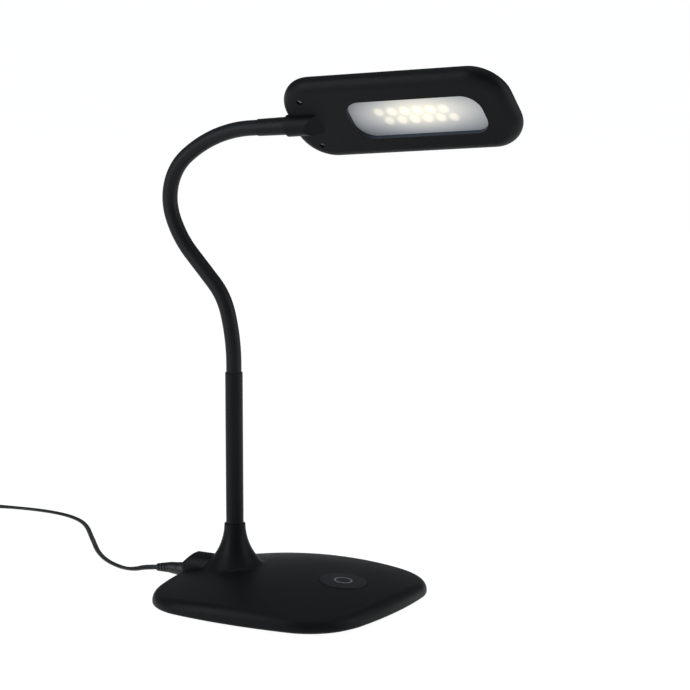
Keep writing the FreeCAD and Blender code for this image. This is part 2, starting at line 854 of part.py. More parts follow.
def step_along(point, angle, curvature, run):
    """Point and angle after a run along a line or an arc in the X-Z plane."""
    turn = curvature * run
    chord = run if turn == 0 else 2 * math.sin(turn / 2) / curvature
    middle = angle + turn / 2
    return point + V(math.cos(middle) * chord, 0, math.sin(middle) * chord), angle + turn


PIECES = neck_pieces()
neck_end = PIECES[-1][1] - neck_in_ferrule


def neck_point(length):
    """Point and angle of the neck's centre line at a length above the tube's top."""
    for start, end, point, angle, curvature in PIECES:
        if length <= end + 1e-9:
            return step_along(point, angle, curvature, length - start)
    start, end, point, angle, curvature = PIECES[-1]
    return step_along(point, angle, curvature, length - start)


def neck_wire(low, high):
    """The centre line between two lengths."""
    edges = []
    for start, end, point, angle, curvature in PIECES:
        a, b = max(start, low), min(end, high)
        if b - a < 1e-6:
            continue
        first, last = neck_point(a)[0], neck_point(b)[0]
        if curvature == 0:
            edges.append(Part.LineSegment(first, last).toShape())
        else:
            middle = neck_point((a + b) / 2)[0]
            edges.append(Part.Arc(first, middle, last).toShape())
    return Part.Wire(edges)


def swept(wire, radius):
    """Solid tube of one radius along a wire of lines and tangent arcs."""
    first = wire.OrderedEdges[0]
    start = wire.OrderedVertexes[0].Point
    tangent = first.tangentAt(first.FirstParameter)
    if (first.valueAt(first.FirstParameter) - start).Length > 1e-6:
        tangent = first.tangentAt(first.LastParameter) * -1
    ring = Part.Wire(Part.makeCircle(radius, start, tangent))
    return wire.makePipeShell([ring], True, False)


def neck_ball(length, radius):
    """Ball on the centre line, with its poles on the line so that a bore takes them away."""
    point, angle = neck_point(length)
    return Part.makeSphere(radius, point, V(math.cos(angle), 0, math.sin(angle)))


def make_link(low, high, has_cup, has_ball):
    """One link of the flexible neck: a bored core with a cup below and a ball above."""
    solid = swept(neck_wire(low, high), core_radius)
    extra = []
    if has_cup:
        extra.append(swept(neck_wire(low, low + cup_length), sleeve_radius))
    if has_ball:
        extra.append(swept(neck_wire(high - ball_collar, high), sleeve_radius))
        extra.append(neck_ball(high, ball_radius))
    if extra:
        solid = union(solid, extra)
    cuts = [swept(neck_wire(low, high), core_bore_radius)]
    if has_cup:
        cuts.append(neck_ball(low, cup_radius))
    if has_ball:
        point, angle = neck_point(high)
        way = V(math.cos(angle), 0, math.sin(angle))
        cuts.append(rod(core_bore_radius + ball_mouth, point - way, point + way * cup_length))
    return solid.cut(cuts)


def make_sleeve(low, high):
    """Rubber sleeve over one link."""
    outer = swept(neck_wire(low, high), sleeve_radius)
    inner = swept(neck_wire(low - 0.5, high + 0.5), sleeve_radius - sleeve_wall + 0.05)
    return outer.cut(inner)


def link_limits():
    """Start and end of every link."""
    stops = [-neck_in_tube] + list(link_pivots) + [neck_end + neck_in_ferrule]
    return list(zip(stops[:-1], stops[1:]))


def make_links():
    """All links and sleeves, numbered from the bottom."""
    limits = link_limits()
    for number, (low, high) in enumerate(limits, 1):
        has_cup = number > 1
        has_ball = number < len(limits)
        save("neck_link_%d" % number, make_link(low, high, has_cup, has_ball))
        start = low + cup_length + end_gap if has_cup else low + 1
        end = high - ball_collar - end_gap if has_ball else high - 1
        save("neck_sleeve_%d" % number, make_sleeve(start, end))


# Frame of the head: origin at the middle of its rear end, on the plane of the light side


def axis_point(run):
    """Point on the swivel's axis at a distance from the neck's end."""
    point, angle = neck_point(neck_end)
    return point + V(math.cos(angle), 0, math.sin(angle)) * run


def swivel_frame():
    """Origin at the neck's end, X along the swivel's axis."""
    return FreeCAD.Placement(axis_point(0), FreeCAD.Rotation(ACROSS, -head_pitch))


def head_frame():
    """Origin at the head's rear end; X along it, Y across, Z from the light side into the head."""
    turn = FreeCAD.Rotation(ACROSS, -head_pitch).multiply(FreeCAD.Rotation(ALONG, -head_roll))
    return FreeCAD.Placement(axis_point(ferrule_length + swivel_gap + boss_overhang), turn)


def make_ferrule():
    """Turned end piece: sleeve mouth, tapered body and the journal that the head swivels on."""
    end = ferrule_length + swivel_gap + boss_overhang + journal_length

    def at(x, radius):
        return V(x, 0, radius)

    shoulder = ferrule_length
    profile = Part.Face(Part.makePolygon([
        at(0, sleeve_radius + 0.05),
        at(0, ferrule_mouth_radius - ferrule_chamfer),
        at(ferrule_chamfer, ferrule_mouth_radius),
        at(shoulder - ferrule_chamfer, ferrule_radius),
        at(shoulder, ferrule_radius - ferrule_chamfer),
        at(shoulder, journal_radius),
        at(end - journal_chamfer, journal_radius),
        at(end, journal_radius - journal_chamfer),
        at(end, ferrule_bore_radius),
        at(neck_in_ferrule + 0.5, ferrule_bore_radius),
        at(neck_in_ferrule + 0.5, sleeve_radius + 0.05),
        at(0, sleeve_radius + 0.05),
    ]))
    return placed(profile.revolve(V(0, 0, 0), ALONG, 360), swivel_frame())


def ring_on_axis(inner, outer, start, end):
    """Ring about the head's swivel axis, in the head's own frame."""
    return rod(outer, V(start, 0, 0), V(end, 0, 0)).cut(rod(inner, V(start - 1, 0, 0), V(end + 1, 0, 0)))


def make_swivel_washer():
    """Friction washer between the collar and the clip."""
    start = collar_end + end_gap
    ring = ring_on_axis(journal_radius + journal_fit, clip_radius + 0.2, start, start + swivel_washer_thickness)
    return placed(ring, head_frame())


def make_retaining_clip():
    """Open clip on the journal, with a gap on its far side."""
    start = collar_end + swivel_washer_thickness + end_gap * 2
    ring = ring_on_axis(journal_radius + journal_fit, clip_radius, start, start + clip_thickness)
    gap = slab(start - 1, start + clip_thickness + 1, -clip_half_gap, clip_half_gap, 0, clip_radius + 1)
    return placed(ring.cut(gap), head_frame())


# Head shells


def rounded_plate(start, end, half_width, radius, low, high):
    """Plate with round corners in the head's frame."""
    edges = []
    diagonal = radius * (1 - math.sqrt(0.5))
    corners = (
        ((end - radius, -half_width), (end - diagonal, diagonal - half_width), (end, radius - half_width)),
        ((end, half_width - radius), (end - diagonal, half_width - diagonal), (end - radius, half_width)),
        ((start + radius, half_width), (start + diagonal, half_width - diagonal), (start, half_width - radius)),
        ((start, radius - half_width), (start + diagonal, diagonal - half_width), (start + radius, -half_width)),
    )
    for number, corner in enumerate(corners):
        a, b, c = [V(s, t, low) for s, t in corner]
        after = V(*corners[(number + 1) % 4][0], low)
        edges.append(Part.Arc(a, b, c).toShape())
        edges.append(Part.LineSegment(c, after).toShape())
    return Part.Face(Part.Wire(edges)).extrude(UP * (high - low))


def head_form(inset):
    """The head's closed form, drawn in by inset."""
    low, high = inset, head_thickness - inset
    plate = rounded_plate(inset, head_length - inset, head_width / 2 - inset,
                          head_corner_radius - inset, low, high)
    plate = plate.makeFillet(head_light_round - inset, level_edges(plate, low))
    return plate.makeFillet(head_back_round - inset, level_edges(plate, high))


def half_space(low, high):
    """Block that keeps only one side of the parting plane."""
    return slab(-40, head_length + 40, -head_width, head_width, low, high)


def boss_form(radius):
    """Round boss that carries the swivel: its outer half ends in a slope."""
    body = rod(radius, V(-boss_overhang, 0, 0), V(boss_foot_end, 0, 0))
    slope = face_through((
        (V(boss_crest_end, -20, -radius), V(boss_foot_end, -20, 0)),
        (V(boss_foot_end, -20, 0), V(boss_foot_end + 10, -20, 0)),
        (V(boss_foot_end + 10, -20, 0), V(boss_foot_end + 10, -20, -radius - 5)),
        (V(boss_foot_end + 10, -20, -radius - 5), V(boss_crest_end, -20, -radius - 5)),
        (V(boss_crest_end, -20, -radius - 5), V(boss_crest_end, -20, -radius)),
    )).extrude(ACROSS * 40)
    inner = slab(chamber_end + 1.2, boss_foot_end + 5, -20, 20, 0.01, 20)
    above = slab(-boss_overhang - 1, boss_foot_end, -20, 20, head_parting, 20)
    return body.cut([slope, inner, above])


def screw_spots():
    """The two head screws."""
    return [V(head_screw_s, head_screw_t * side, 0) for side in (-1, 1)]


def window_plate(grow, low, high):
    """The window's outline, grown by a margin, as a plate."""
    return rounded_plate(window_start - grow, window_end + grow, window_half_width + grow,
                         window_corner_radius + grow, low, high)


def make_head_lower_shell():
    """Light-side shell: bezel with the window's well, the swivel boss and two screw seats."""
    shell = head_form(0).cut(head_form(head_wall)).common(half_space(-30, head_parting))
    well = window_plate(window_well_wall, 0.5, window_well_depth)
    seats = [rod(head_post_radius, spot + UP * 0.5, spot + UP * head_seat_height) for spot in screw_spots()]
    shell = union(shell, [well, boss_form(boss_radius)] + seats)
    end = V(chamber_end, 0, 0)
    cuts = [
        window_plate(0, -1, window_well_depth + 1),
        rod(journal_radius + journal_fit, V(-boss_overhang - 1, 0, 0), end),
        rod(chamber_radius, V(collar_end, 0, 0), end),
        slab(chamber_end - 0.5, lead_window_end, -lead_window_half_width, lead_window_half_width,
             -lead_window_depth, 20),
    ]
    for spot in screw_spots():
        cuts.append(rod(head_screw_recess_radius, spot - UP * 2, spot + UP * (head_screw_recess_depth + 1)))
        cuts.append(rod(head_screw_shank_radius + screw_gap, spot, spot + UP * (head_seat_height + 1)))
    return placed(shell.cut(cuts), head_frame())


def make_head_upper_shell():
    """Back shell with the screw posts and the pegs that press on the diffuser."""
    shell = head_form(0).cut(head_form(head_wall)).common(half_space(head_parting, 30))
    roof = head_thickness - head_wall / 2
    posts = []
    for spot in screw_spots():
        posts.append(rod(head_post_radius, spot + UP * (head_seat_height + end_gap), spot + UP * roof))
    pegs = []
    low = window_well_depth + diffuser_thickness + end_gap
    for s in (window_start + press_peg_inset, window_end - press_peg_inset):
        for t in (-press_peg_t, press_peg_t):
            pegs.append(rod(press_peg_radius, V(s, t, low), V(s, t, roof)))
    shell = union(shell, posts + pegs)
    hole = head_screw_shank_radius + screw_gap
    holes = [rod(hole, spot, spot + UP * head_screw_hole_end) for spot in screw_spots()]
    return placed(shell.cut(holes), head_frame())


def make_diffuser():
    """Frosted plate that lies on the window's well."""
    low = window_well_depth
    plate = window_plate(diffuser_lap, low, low + diffuser_thickness)
    return placed(plate, head_frame())


def led_spots():
    """Centres of the light-emitting packages: two rows, half a pitch apart."""
    spots = []
    for row, t in enumerate((-led_row_half_gap, led_row_half_gap)):
        for number in range(leds_per_row):
            spots.append((led_first + led_pitch * (number + row / 2), t))
    return spots


def led_board_top():
    """Side of the board that rests on the back shell."""
    return head_thickness - head_wall


def make_led_board():
    """Aluminium board that carries the light-emitting packages."""
    top = led_board_top()
    board = rounded_plate(led_board_start, led_board_end, led_board_half_width, 3, top - board_thickness, top)
    holes = [rod(1.6, V(s, 0, 0), V(s, 0, 20)) for s in board_screw_s()]
    return placed(board.cut(holes), head_frame())


def board_screw_s():
    """Where the board's screws stand along the head."""
    return (led_board_start + 4, led_board_end - 4)


def make_led_packages():
    """The light-emitting packages, each a tapered block."""
    bottom = led_board_top() - board_thickness
    packages = []
    for s, t in led_spots():
        block = slab(s - led_length / 2, s + led_length / 2, t - led_width / 2, t + led_width / 2,
                     bottom - led_height, bottom)
        packages.append(block.makeChamfer(0.2, level_edges(block, bottom - led_height)))
    return placed(Part.makeCompound(packages), head_frame())


def make_board_screws():
    """Two rivet-like screws that hold the board to the back shell."""
    bottom = led_board_top() - board_thickness
    screws = []
    for s in board_screw_s():
        point = V(s, 0, 0)
        screws.append(pan_screw(point, bottom, board_thickness - 0.05, 1.5, 2.4, 0.9, UP))
    return placed(Part.makeCompound(screws), head_frame())


def make_head_screws():
    """The two screws that close the head, sunk in their recesses, each with a cross slot."""
    screws = []
    seat = head_screw_recess_depth + 1
    for spot in screw_spots():
        screw = pan_screw(spot, seat, head_screw_length, head_screw_shank_radius, head_screw_head_radius,
                          head_screw_head_height, UP)
        far = head_screw_slot_half_length
        near = head_screw_slot_half_width
        top = seat - head_screw_head_height
        slots = []
        for x, y in ((far, near), (near, far)):
            slots.append(slab(spot.x - x, spot.x + x, spot.y - y, spot.y + y,
                              top - 0.2, top + head_screw_slot_depth))
        screws.append(screw.cut(slots))
    return placed(Part.makeCompound(screws), head_frame())


# Cords and leads


def rounded_route(points, name):
    """Wire of straight runs joined by tangent arcs, each as large as its two runs allow."""
    edges = []
    here = points[0]
    radii = []
    for before, corner, after in zip(points, points[1:], points[2:]):
        into = (corner - before).normalize()
        out = (after - corner).normalize()
        turn = into.getAngle(out)
        shorter = min((corner - before).Length, (after - corner).Length)
        trim = 0.45 * shorter
        radius = trim / math.tan(turn / 2)
        radii.append(radius)
        start = corner - into * trim
        end = corner + out * trim
        inward = (out - into).normalize()
        middle = corner + inward * (math.hypot(radius, trim) - radius)
        edges.append(Part.LineSegment(here, start).toShape())
        edges.append(Part.Arc(start, middle, end).toShape())
        here = end
    edges.append(Part.LineSegment(here, points[-1]).toShape())
    wire = Part.Wire(edges)
    print(name, "length %.1f, bend radii" % wire.Length, " ".join("%.0f" % radius for radius in radii))
    return wire


def cord_solid(wire, radius, name):
    """Tube along a wire, with its volume held against section times length."""
    tube = swept(wire, radius)
    share = tube.Volume / (math.pi * radius ** 2 * wire.Length)
    print(name, "volume over section times length %.4f, valid %s" % (share, tube.isValid()))
    return tube


def relief_frame():
    """Frame of the plug's strain relief: origin where it leaves the plug body, X out along it."""
    start = V(plug_front_x - plug_length, 0, socket_axis_z)
    turn = FreeCAD.Rotation(ACROSS, 180 - relief_droop)
    return FreeCAD.Placement(start, turn)


def relief_tip():
    """Where the cord leaves the strain relief."""
    return relief_frame().multVec(V(relief_length, 0, 0))


def make_plug_body():
    """Moulded plug body: a short collar against the housing, then a taper towards the cord."""

    def at(run, radius):
        return V(plug_front_x - run, 0, socket_axis_z + radius)

    bore = barrel_radius + barrel_fit
    step_end = plug_collar_length + plug_step_length
    profile = Part.Face(Part.makePolygon([
        at(0, bore),
        at(0, plug_radius - plug_edge_round),
        at(plug_edge_round, plug_radius),
        at(plug_collar_length, plug_radius),
        at(step_end, plug_radius - plug_step),
        at(plug_length - plug_edge_round, plug_rear_radius),
        at(plug_length, plug_rear_radius - plug_edge_round),
        at(plug_length, 0),
        at(barrel_in_plug, 0),
        at(barrel_in_plug, bore),
        at(0, bore),
    ]))
    return profile.revolve(V(0, 0, socket_axis_z), ALONG, 360)


def make_plug_relief():
    """Ribbed strain relief: tapered, with open grooves between its ribs."""
    taper = (relief_radius - relief_end_radius) / relief_length
    root = relief_radius * math.tan(math.radians(relief_droop)) + 0.1
    core = Part.makeCone(relief_radius + taper * root, relief_end_radius, relief_length + root,
                         V(-root, 0, 0), ALONG)
    pitch = (relief_length - 3.0) / relief_ribs
    grooves = []
    for number in range(relief_ribs):
        start = relief_first_groove + pitch * number
        outer = relief_radius - taper * start + 1
        grooves.append(rod(outer, V(start, 0, 0), V(start + relief_groove, 0, 0)).cut(
            rod(cord_diameter / 2 + relief_core_skin, V(start - 1, 0, 0), V(start + 3, 0, 0))))
    plug = slab(plug_front_x - plug_length, plug_front_x, -20, 20, -20, 60)
    return placed(core.cut(grooves), relief_frame()).cut(plug)


def make_plug_barrel():
    """Metal barrel of the plug, hollow for the socket's pin."""
    outer = rod(barrel_radius, V(plug_front_x - barrel_in_plug, 0, socket_axis_z),
                V(plug_front_x + barrel_length, 0, socket_axis_z))
    outer = outer.makeChamfer(barrel_chamfer, [edge for edge in outer.Edges
                                    if edge.BoundBox.XMin > plug_front_x + barrel_length - 0.01])
    return outer.cut(rod(barrel_bore_radius, V(plug_front_x - barrel_in_plug + 1, 0, socket_axis_z),
                         V(plug_front_x + 30, 0, socket_axis_z)))


def coil_wire():
    """Coil of half turns in two layers: inwards below, up in one half turn, outwards above.

    Each half turn is half a pitch smaller or larger than the one before, about a centre that
    moves as much along their shared diameter, so the line stays smooth.
    """
    step = coil_pitch / 2
    low = cord_diameter / 2 + cord_floor_gap
    high = low + coil_layer_step
    centre = V(coil_centre[0], coil_centre[1], 0)
    angle = coil_entry_angle
    radius = coil_outer_radius
    edges = []

    def on(turned, size, height):
        turn = math.radians(turned)
        return V(centre.x + size * math.cos(turn), centre.y + size * math.sin(turn), height)

    def add_turn(sweep, height):
        middle = on(angle + sweep / 2, radius, height)
        edges.append(Part.Arc(on(angle, radius, height), middle, on(angle + sweep, radius, height)).toShape())

    def outward():
        turn = math.radians(angle)
        return V(math.cos(turn), math.sin(turn), 0)

    for number in range(coil_half_turns):
        add_turn(180, low)
        angle += 180
        radius -= step
        centre += outward() * step
    tangent = V(-outward().y, outward().x, 0)
    crest = on(angle + 90, math.hypot(radius, coil_layer_step / 2), (low + high) / 2)
    edges.append(arc_from_tangent(on(angle, radius, low), tangent, crest))
    edges.append(arc_from_tangent(on(angle + 180, radius, high), tangent, crest))
    angle += 180
    for number in range(coil_half_turns - 1):
        centre -= outward() * step
        radius += step
        add_turn(180, high)
        angle += 180
    centre -= outward() * step
    radius += step
    add_turn(90, high)
    return Part.Wire(edges), on(angle + 90, radius, high), angle + 180


def arc_from_tangent(start, tangent, end):
    """Arc that leaves start along a tangent and ends at a point."""
    chord = end - start
    turn = tangent.getAngle(chord)
    radius = chord.Length / (2 * math.sin(turn))
    side = (chord * (1 / chord.Length) - tangent * math.cos(turn)).normalize()
    centre = start + side * radius
    middle = centre + ((start - centre) + (end - centre)).normalize() * radius
    return Part.Arc(start, middle, end).toShape()


def least_self_gap(wire, spacing, beyond):
    """Least distance between points of a wire that are further apart along it than beyond."""
    count = int(wire.Length / spacing) + 1
    points = wire.discretize(Number=count)
    skip = int(beyond / spacing)
    gaps = [(points[i] - points[j]).Length for i in range(count) for j in range(i + skip, count)]
    return min(gaps)


def cord_points():
    """Route of the cord from the plug's relief over the table to the coil, chosen by hand."""
    z = cord_diameter / 2 + cord_floor_gap
    tip = relief_tip()
    out = relief_frame().Rotation.multVec(ALONG)
    entry_turn = math.radians(coil_entry_angle)
    entry = V(coil_centre[0] + coil_outer_radius * math.cos(entry_turn),
              coil_centre[1] + coil_outer_radius * math.sin(entry_turn), z)
    back = V(math.sin(entry_turn), -math.cos(entry_turn), 0)
    return [
        tip,
        tip + out * 12.5,
        V(-152.5, 4.4, 5.2),
        V(-171.5, 10.6, z),
        V(-196.0, 24.0, z),
        V(-222.0, 49.5, z),
        V(-252.0, 85.3, z),
        V(-283.0, 121.0, z),
        V(-309.0, 140.5, z),
        V(-338.0, 149.5, z),
        V(-371.0, 148.2, z),
        V(-406.0, 138.0, z),
        entry + back * 30.0,
        entry,
    ]


def tail_points(start, angle):
    """Route from the coil's upper layer to the adapter's relief."""
    turn = math.radians(angle)
    way = V(math.cos(turn), math.sin(turn), 0)
    relief = V(adapter_x, adapter_front_y + adapter_relief_length, adapter_relief_z)
    return [
        start,
        start + way * 13,
        V(adapter_x - 4.0, relief.y + 18.0, adapter_relief_z - 1.4),
        relief + ACROSS * 11,
        relief,
    ]


def make_adapter_body():
    """Wall adapter lying on its side: a rounded block with a raised pin face."""
    width, length, height = adapter_size
    x0 = adapter_x - width / 2
    y1 = adapter_front_y
    block = slab(x0, x0 + width, y1 - length, y1, 0, height)
    along = [edge for edge in block.Edges if edge.BoundBox.YLength > length - 0.01]
    block = block.makeFillet(adapter_round, along)
    ends = [edge for edge in block.Edges if edge.BoundBox.YLength < 0.01 and edge.BoundBox.YMin > y1 - 0.01]
    block = block.makeFillet(2.0, ends)
    face = slab(x0 + 5, x0 + width - 5, y1 - length - 2, y1 - length + 1, 5, height - 5)
    upright = [edge for edge in face.Edges if edge.BoundBox.YLength > 2.5]
    face = face.makeFillet(4.0, upright)
    block = union(block, [face])
    seam = slab(x0 - 1, x0 + width + 1, y1 - length + 8, y1 - length + 8.6, -1, height + 1)
    inner = slab(x0 + 0.5, x0 + width - 0.5, y1 - length + 7, y1 - length + 10, 0.5, height - 0.5)
    inner_edges = [edge for edge in inner.Edges if edge.BoundBox.YLength > 2.5]
    inner = inner.makeFillet(adapter_round - 0.5, inner_edges)
    block = block.cut(seam.cut(inner))
    relief_hole = rod(3.6, V(adapter_x, y1 - 4, adapter_relief_z), V(adapter_x, y1 + 1, adapter_relief_z))
    pin_holes = [rod(pin_root_radius + 0.03, start - ACROSS, start + ACROSS * (pin_root_length + 1))
                 for start in pin_roots()]
    return block.cut([relief_hole] + pin_holes)


def pin_roots():
    """Where the pins leave the adapter's pin face."""
    y = adapter_front_y - adapter_size[1] - 2
    middle = adapter_size[2] / 2
    return [V(adapter_x - pin_spacing / 2, y, middle), V(adapter_x + pin_spacing / 2, y, middle)]


def make_adapter_pins():
    """Two round pins with domed tips and a narrower root inside the adapter."""
    pins = []
    for root in pin_roots():
        tip = root - ACROSS * pin_length
        pin = rod(pin_radius, root, tip)
        end = [edge for edge in pin.Edges if edge.BoundBox.YMax < tip.y + 0.01]
        pin = pin.makeFillet(pin_radius - 0.4, end)
        pins.append(union(pin, [rod(pin_root_radius, root + ACROSS * pin_root_length, root - ACROSS)]))
    return Part.makeCompound(pins)


def make_adapter_relief():
    """Tapered, grooved strain relief on the adapter."""
    y = adapter_front_y
    cone = Part.makeCone(3.5, cord_diameter / 2 + 0.5, adapter_relief_length + 3.9,
                         V(adapter_x, y - 3.9, adapter_relief_z), ACROSS)
    grooves = []
    for number in range(5):
        start = y + 2.5 + number * 3
        ring = rod(6, V(adapter_x, start, adapter_relief_z), V(adapter_x, start + 1.1, adapter_relief_z))
        grooves.append(ring.cut(rod(cord_diameter / 2 + 0.2, V(adapter_x, start - 1, adapter_relief_z),
                                    V(adapter_x, start + 3, adapter_relief_z))))
    return cone.cut(grooves)


def make_base_lead():
    """Lead from the power board up through the stud into the tube."""
    top = board_z() + board_thickness
    x = board_x() + power_board_length - 3.5
    points = [
        V(x, 5.5, top),
        V(x, 5.5, top + 3.2),
        V(x + 8, 2.6, top + 3.4),
        V(neck_x - 0.4, 0, top + 2.4),
        V(neck_x, 0, top + 24),
    ]
    return cord_solid(rounded_route(points, "base_lead"), 0.9, "base_lead")


def make_switch_lead():
    """Lead from the switch board back to the power board."""
    start = button_frame().multVec(V(-18.5, 0, -guide_depth - board_thickness))
    down = button_frame().Rotation.multVec(UP * -1)
    top = board_z() + board_thickness
    x = board_x() + socket_length + 5.5
    over = cover_top_z + tape_thickness + weight_thickness + 1.0
    points = [
        start,
        start + down * 2.0,
        V(12, 7, over),
        V(-28, 18, over),
        V(-57, 14.5, over),
        V(x, 6.2, top + 3.4),
        V(x, 6.2, top),
    ]
    return cord_solid(rounded_route(points, "switch_lead"), 0.8, "switch_lead")


def make_head_lead():
    """Lead from the hollow journal to the board in the head."""
    start = journal_length + 0.1
    under = led_board_top() - board_thickness
    middle = (window_well_depth + diffuser_thickness + under) / 2
    points = [
        V(start, 0, 0),
        V(start + 7, 0, 0),
        V(start + 15, 1.5, middle - 4.25),
        V(start + 28, 4, middle - 1.05),
        V(led_board_start - 14, 7, middle + 0.15),
        V(led_board_start + 5, 6.6, middle - 0.25),
        V(led_board_start + 5, 6.6, under),
    ]
    return placed(cord_solid(rounded_route(points, "head_lead"), 0.9, "head_lead"), head_frame())


def make_base_parts():
    """Everything in and under the base."""
    save("base_shell", make_base_shell())
    save("base_cover", make_base_cover())
    save("foam_pad", make_foam_pad())
    save("cover_screws", make_cover_screws())
    save("base_weight", make_weight())
    save("weight_tape", make_weight_tape())
    save("power_board", make_power_board())
    save("board_parts", make_board_parts())
    save("power_socket", make_socket())
    save("button_cap", make_button_cap())
    save("button_ring", make_button_ring())
    save("switch_body", make_switch())
    save("switch_plunger", make_plunger())
    save("switch_board", make_switch_board())
    save("switch_screws", make_switch_screws())
    save("base_lead", make_base_lead())
    save("switch_lead", make_switch_lead())


def make_neck_parts():
    """Tube, its fixings, the links and the ferrule."""
    save("neck_tube", make_neck_tube())
    save("neck_stud", make_neck_stud())
    save("neck_washer", make_neck_washer())
    save("neck_nut", make_neck_nut())
    make_links()
    save("ferrule", make_ferrule())
    save("swivel_washer", make_swivel_washer())
    save("retaining_clip", make_retaining_clip())


def make_head_parts():
    """Everything that turns with the head."""
    save("head_lower_shell", make_head_lower_shell())
    save("head_upper_shell", make_head_upper_shell())
    save("diffuser", make_diffuser())
    save("led_board", make_led_board())
    save("led_packages", make_led_packages())
    save("board_screws", make_board_screws())
    save("head_screws", make_head_screws())
    save("head_lead", make_head_lead())


def make_power_lead():
    """Plug, cord, coil and adapter."""
    save("plug_body", make_plug_body())
    save("plug_relief", make_plug_relief())
    save("plug_barrel", make_plug_barrel())
    save("cord_lead", cord_solid(rounded_route(cord_points(), "cord_lead"), cord_diameter / 2, "cord_lead"))
    wire, end, angle = coil_wire()
    gap = least_self_gap(wire, 1.0, 8 * cord_diameter) - cord_diameter
    print("cord_coil length %.1f, least gap to itself %.2f" % (wire.Length, gap))
    save("cord_coil", cord_solid(wire, cord_diameter / 2, "cord_coil"))
    save("cord_tail", cord_solid(rounded_route(tail_points(end, angle), "cord_tail"), cord_diameter / 2, "cord_tail"))
    save("adapter_body", make_adapter_body())
    save("adapter_pins", make_adapter_pins())
    save("adapter_relief", make_adapter_relief())


def report_pivots():
    """Prints the neck's pivots and the head's frame, for the record of joints."""
    for number, length in enumerate(link_pivots, 1):
        point, angle = neck_point(length)
        print("pivot %d at (%.3f, 0, %.3f), angle %.3f" % (number, point.x, point.z, math.degrees(angle)))
    place = head_frame()
    print("head origin (%.3f, %.3f, %.3f)" % tuple(place.Base))
    print("button origin (%.3f, 0, %.3f), lean %.3f" % (
        button_x, dome_z(button_x, 0), math.degrees(math.asin(button_x / base_dome_radius))))


os.makedirs("parts", exist_ok=True)
make_base_parts()
make_neck_parts()
make_head_parts()
make_power_lead()
report_pivots()
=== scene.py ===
import json
import math

import bpy
from bpy.props import FloatProperty, FloatVectorProperty, IntProperty, PointerProperty
from bpy.types import Operator, Panel, PropertyGroup
from mathutils import Matrix, Vector


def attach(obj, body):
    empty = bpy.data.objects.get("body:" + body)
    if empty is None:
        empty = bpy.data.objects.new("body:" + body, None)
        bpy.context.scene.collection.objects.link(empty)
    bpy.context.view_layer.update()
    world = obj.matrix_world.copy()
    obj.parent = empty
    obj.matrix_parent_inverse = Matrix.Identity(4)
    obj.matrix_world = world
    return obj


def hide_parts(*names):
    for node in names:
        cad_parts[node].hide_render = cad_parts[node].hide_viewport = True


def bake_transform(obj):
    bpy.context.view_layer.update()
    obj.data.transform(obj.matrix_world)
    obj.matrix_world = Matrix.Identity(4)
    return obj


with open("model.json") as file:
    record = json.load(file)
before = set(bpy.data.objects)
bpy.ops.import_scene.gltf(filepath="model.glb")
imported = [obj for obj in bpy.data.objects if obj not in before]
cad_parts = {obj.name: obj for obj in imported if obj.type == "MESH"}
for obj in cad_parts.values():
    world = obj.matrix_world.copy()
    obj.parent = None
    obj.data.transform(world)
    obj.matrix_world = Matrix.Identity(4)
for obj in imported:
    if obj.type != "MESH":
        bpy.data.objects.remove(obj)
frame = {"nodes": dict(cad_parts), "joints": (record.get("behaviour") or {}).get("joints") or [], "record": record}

bl_info = {
    "name": "Gooseneck Desk Lamp",
    "version": (1, 0, 0),
    "blender": (4, 5, 0),
    "location": "3D View > Sidebar > Desk Lamp",
    "description": "Finishes, neck skin, twin lead, lit window and studio for the packed desk lamp",
    "category": "Object",
}

MM = 0.001
UP = Vector((0.0, 0.0, 1.0))

# The neck's centre line, as in the construction, in millimetres and degrees: straight runs
# and bends of (radius, degrees), from where the tube ends
NECK_FOOT = Vector((-51.9, 0.0, 180.6))
HEAD_PITCH = 5.9
NECK_IN_TUBE = 8.0
NECK_FIRST_RUN = 6.3
NECK_FIRST_BENDS = ((160.0, 14.9), (54.5, 28.5))
NECK_MIDDLE_RUN = 30.4
NECK_OVER_BENDS = ((80.0, -23.5), (45.0, -69.5))
NECK_LAST_RADIUS = 110.0
NECK_LAST_RUN = 7.8
NECK_IN_FERRULE = 8.0
NECK_PIVOTS = (24.0, 72.0, 120.0, 168.0, 216.0)
NECK_SPACING = 48.0
NECK_SHARP = 35.0
# Half of the length over which the skin bends at a pivot, as a share of the pivots' spacing
BEND_SHARE = 0.42
SKIN_CLEARANCE = 0.1 * MM
CORE_WALL = 2.1 * MM

# Head, in its own frame of millimetres: along it from its rear end, across it from its
# middle, and into it from the light side
HEAD_ROLL = 51.2
LED_FIRST = 80.9
LED_PITCH = 11.26
LED_ROW_HALF_GAP = 4.6
LEDS_PER_ROW = 6
WINDOW_START = 55.3
WINDOW_END = 171.9
WINDOW_HALF_WIDTH = 19.4
WELL_DEPTH = 4.2
WELL_MARGIN = 0.4
WELL_FADE = (0.15, 0.6)
# Painted light: the well's walls are painted this many times lighter than the shell, standing in for the lit
# plate's light on them
WELL_PAINTED_LIGHT = 16.0
WELL_POLISH = 0.35

# Light on the frosted plate, in the head's frame: its haze, its spots' discs, how much the
# spots warm its colour, and its level at the rear and the front
HAZE_CENTRE = (115.4, -3.0)
HAZE_REACH = (50.0, 18.2)
SPOT_CORE = 2.0
SPOT_EDGE = 5.8
SPOT_WARMTH = 0.3
GLOW_AT_ENDS = (0.1, 1.0)
PACKAGE_GLOW = 2.0

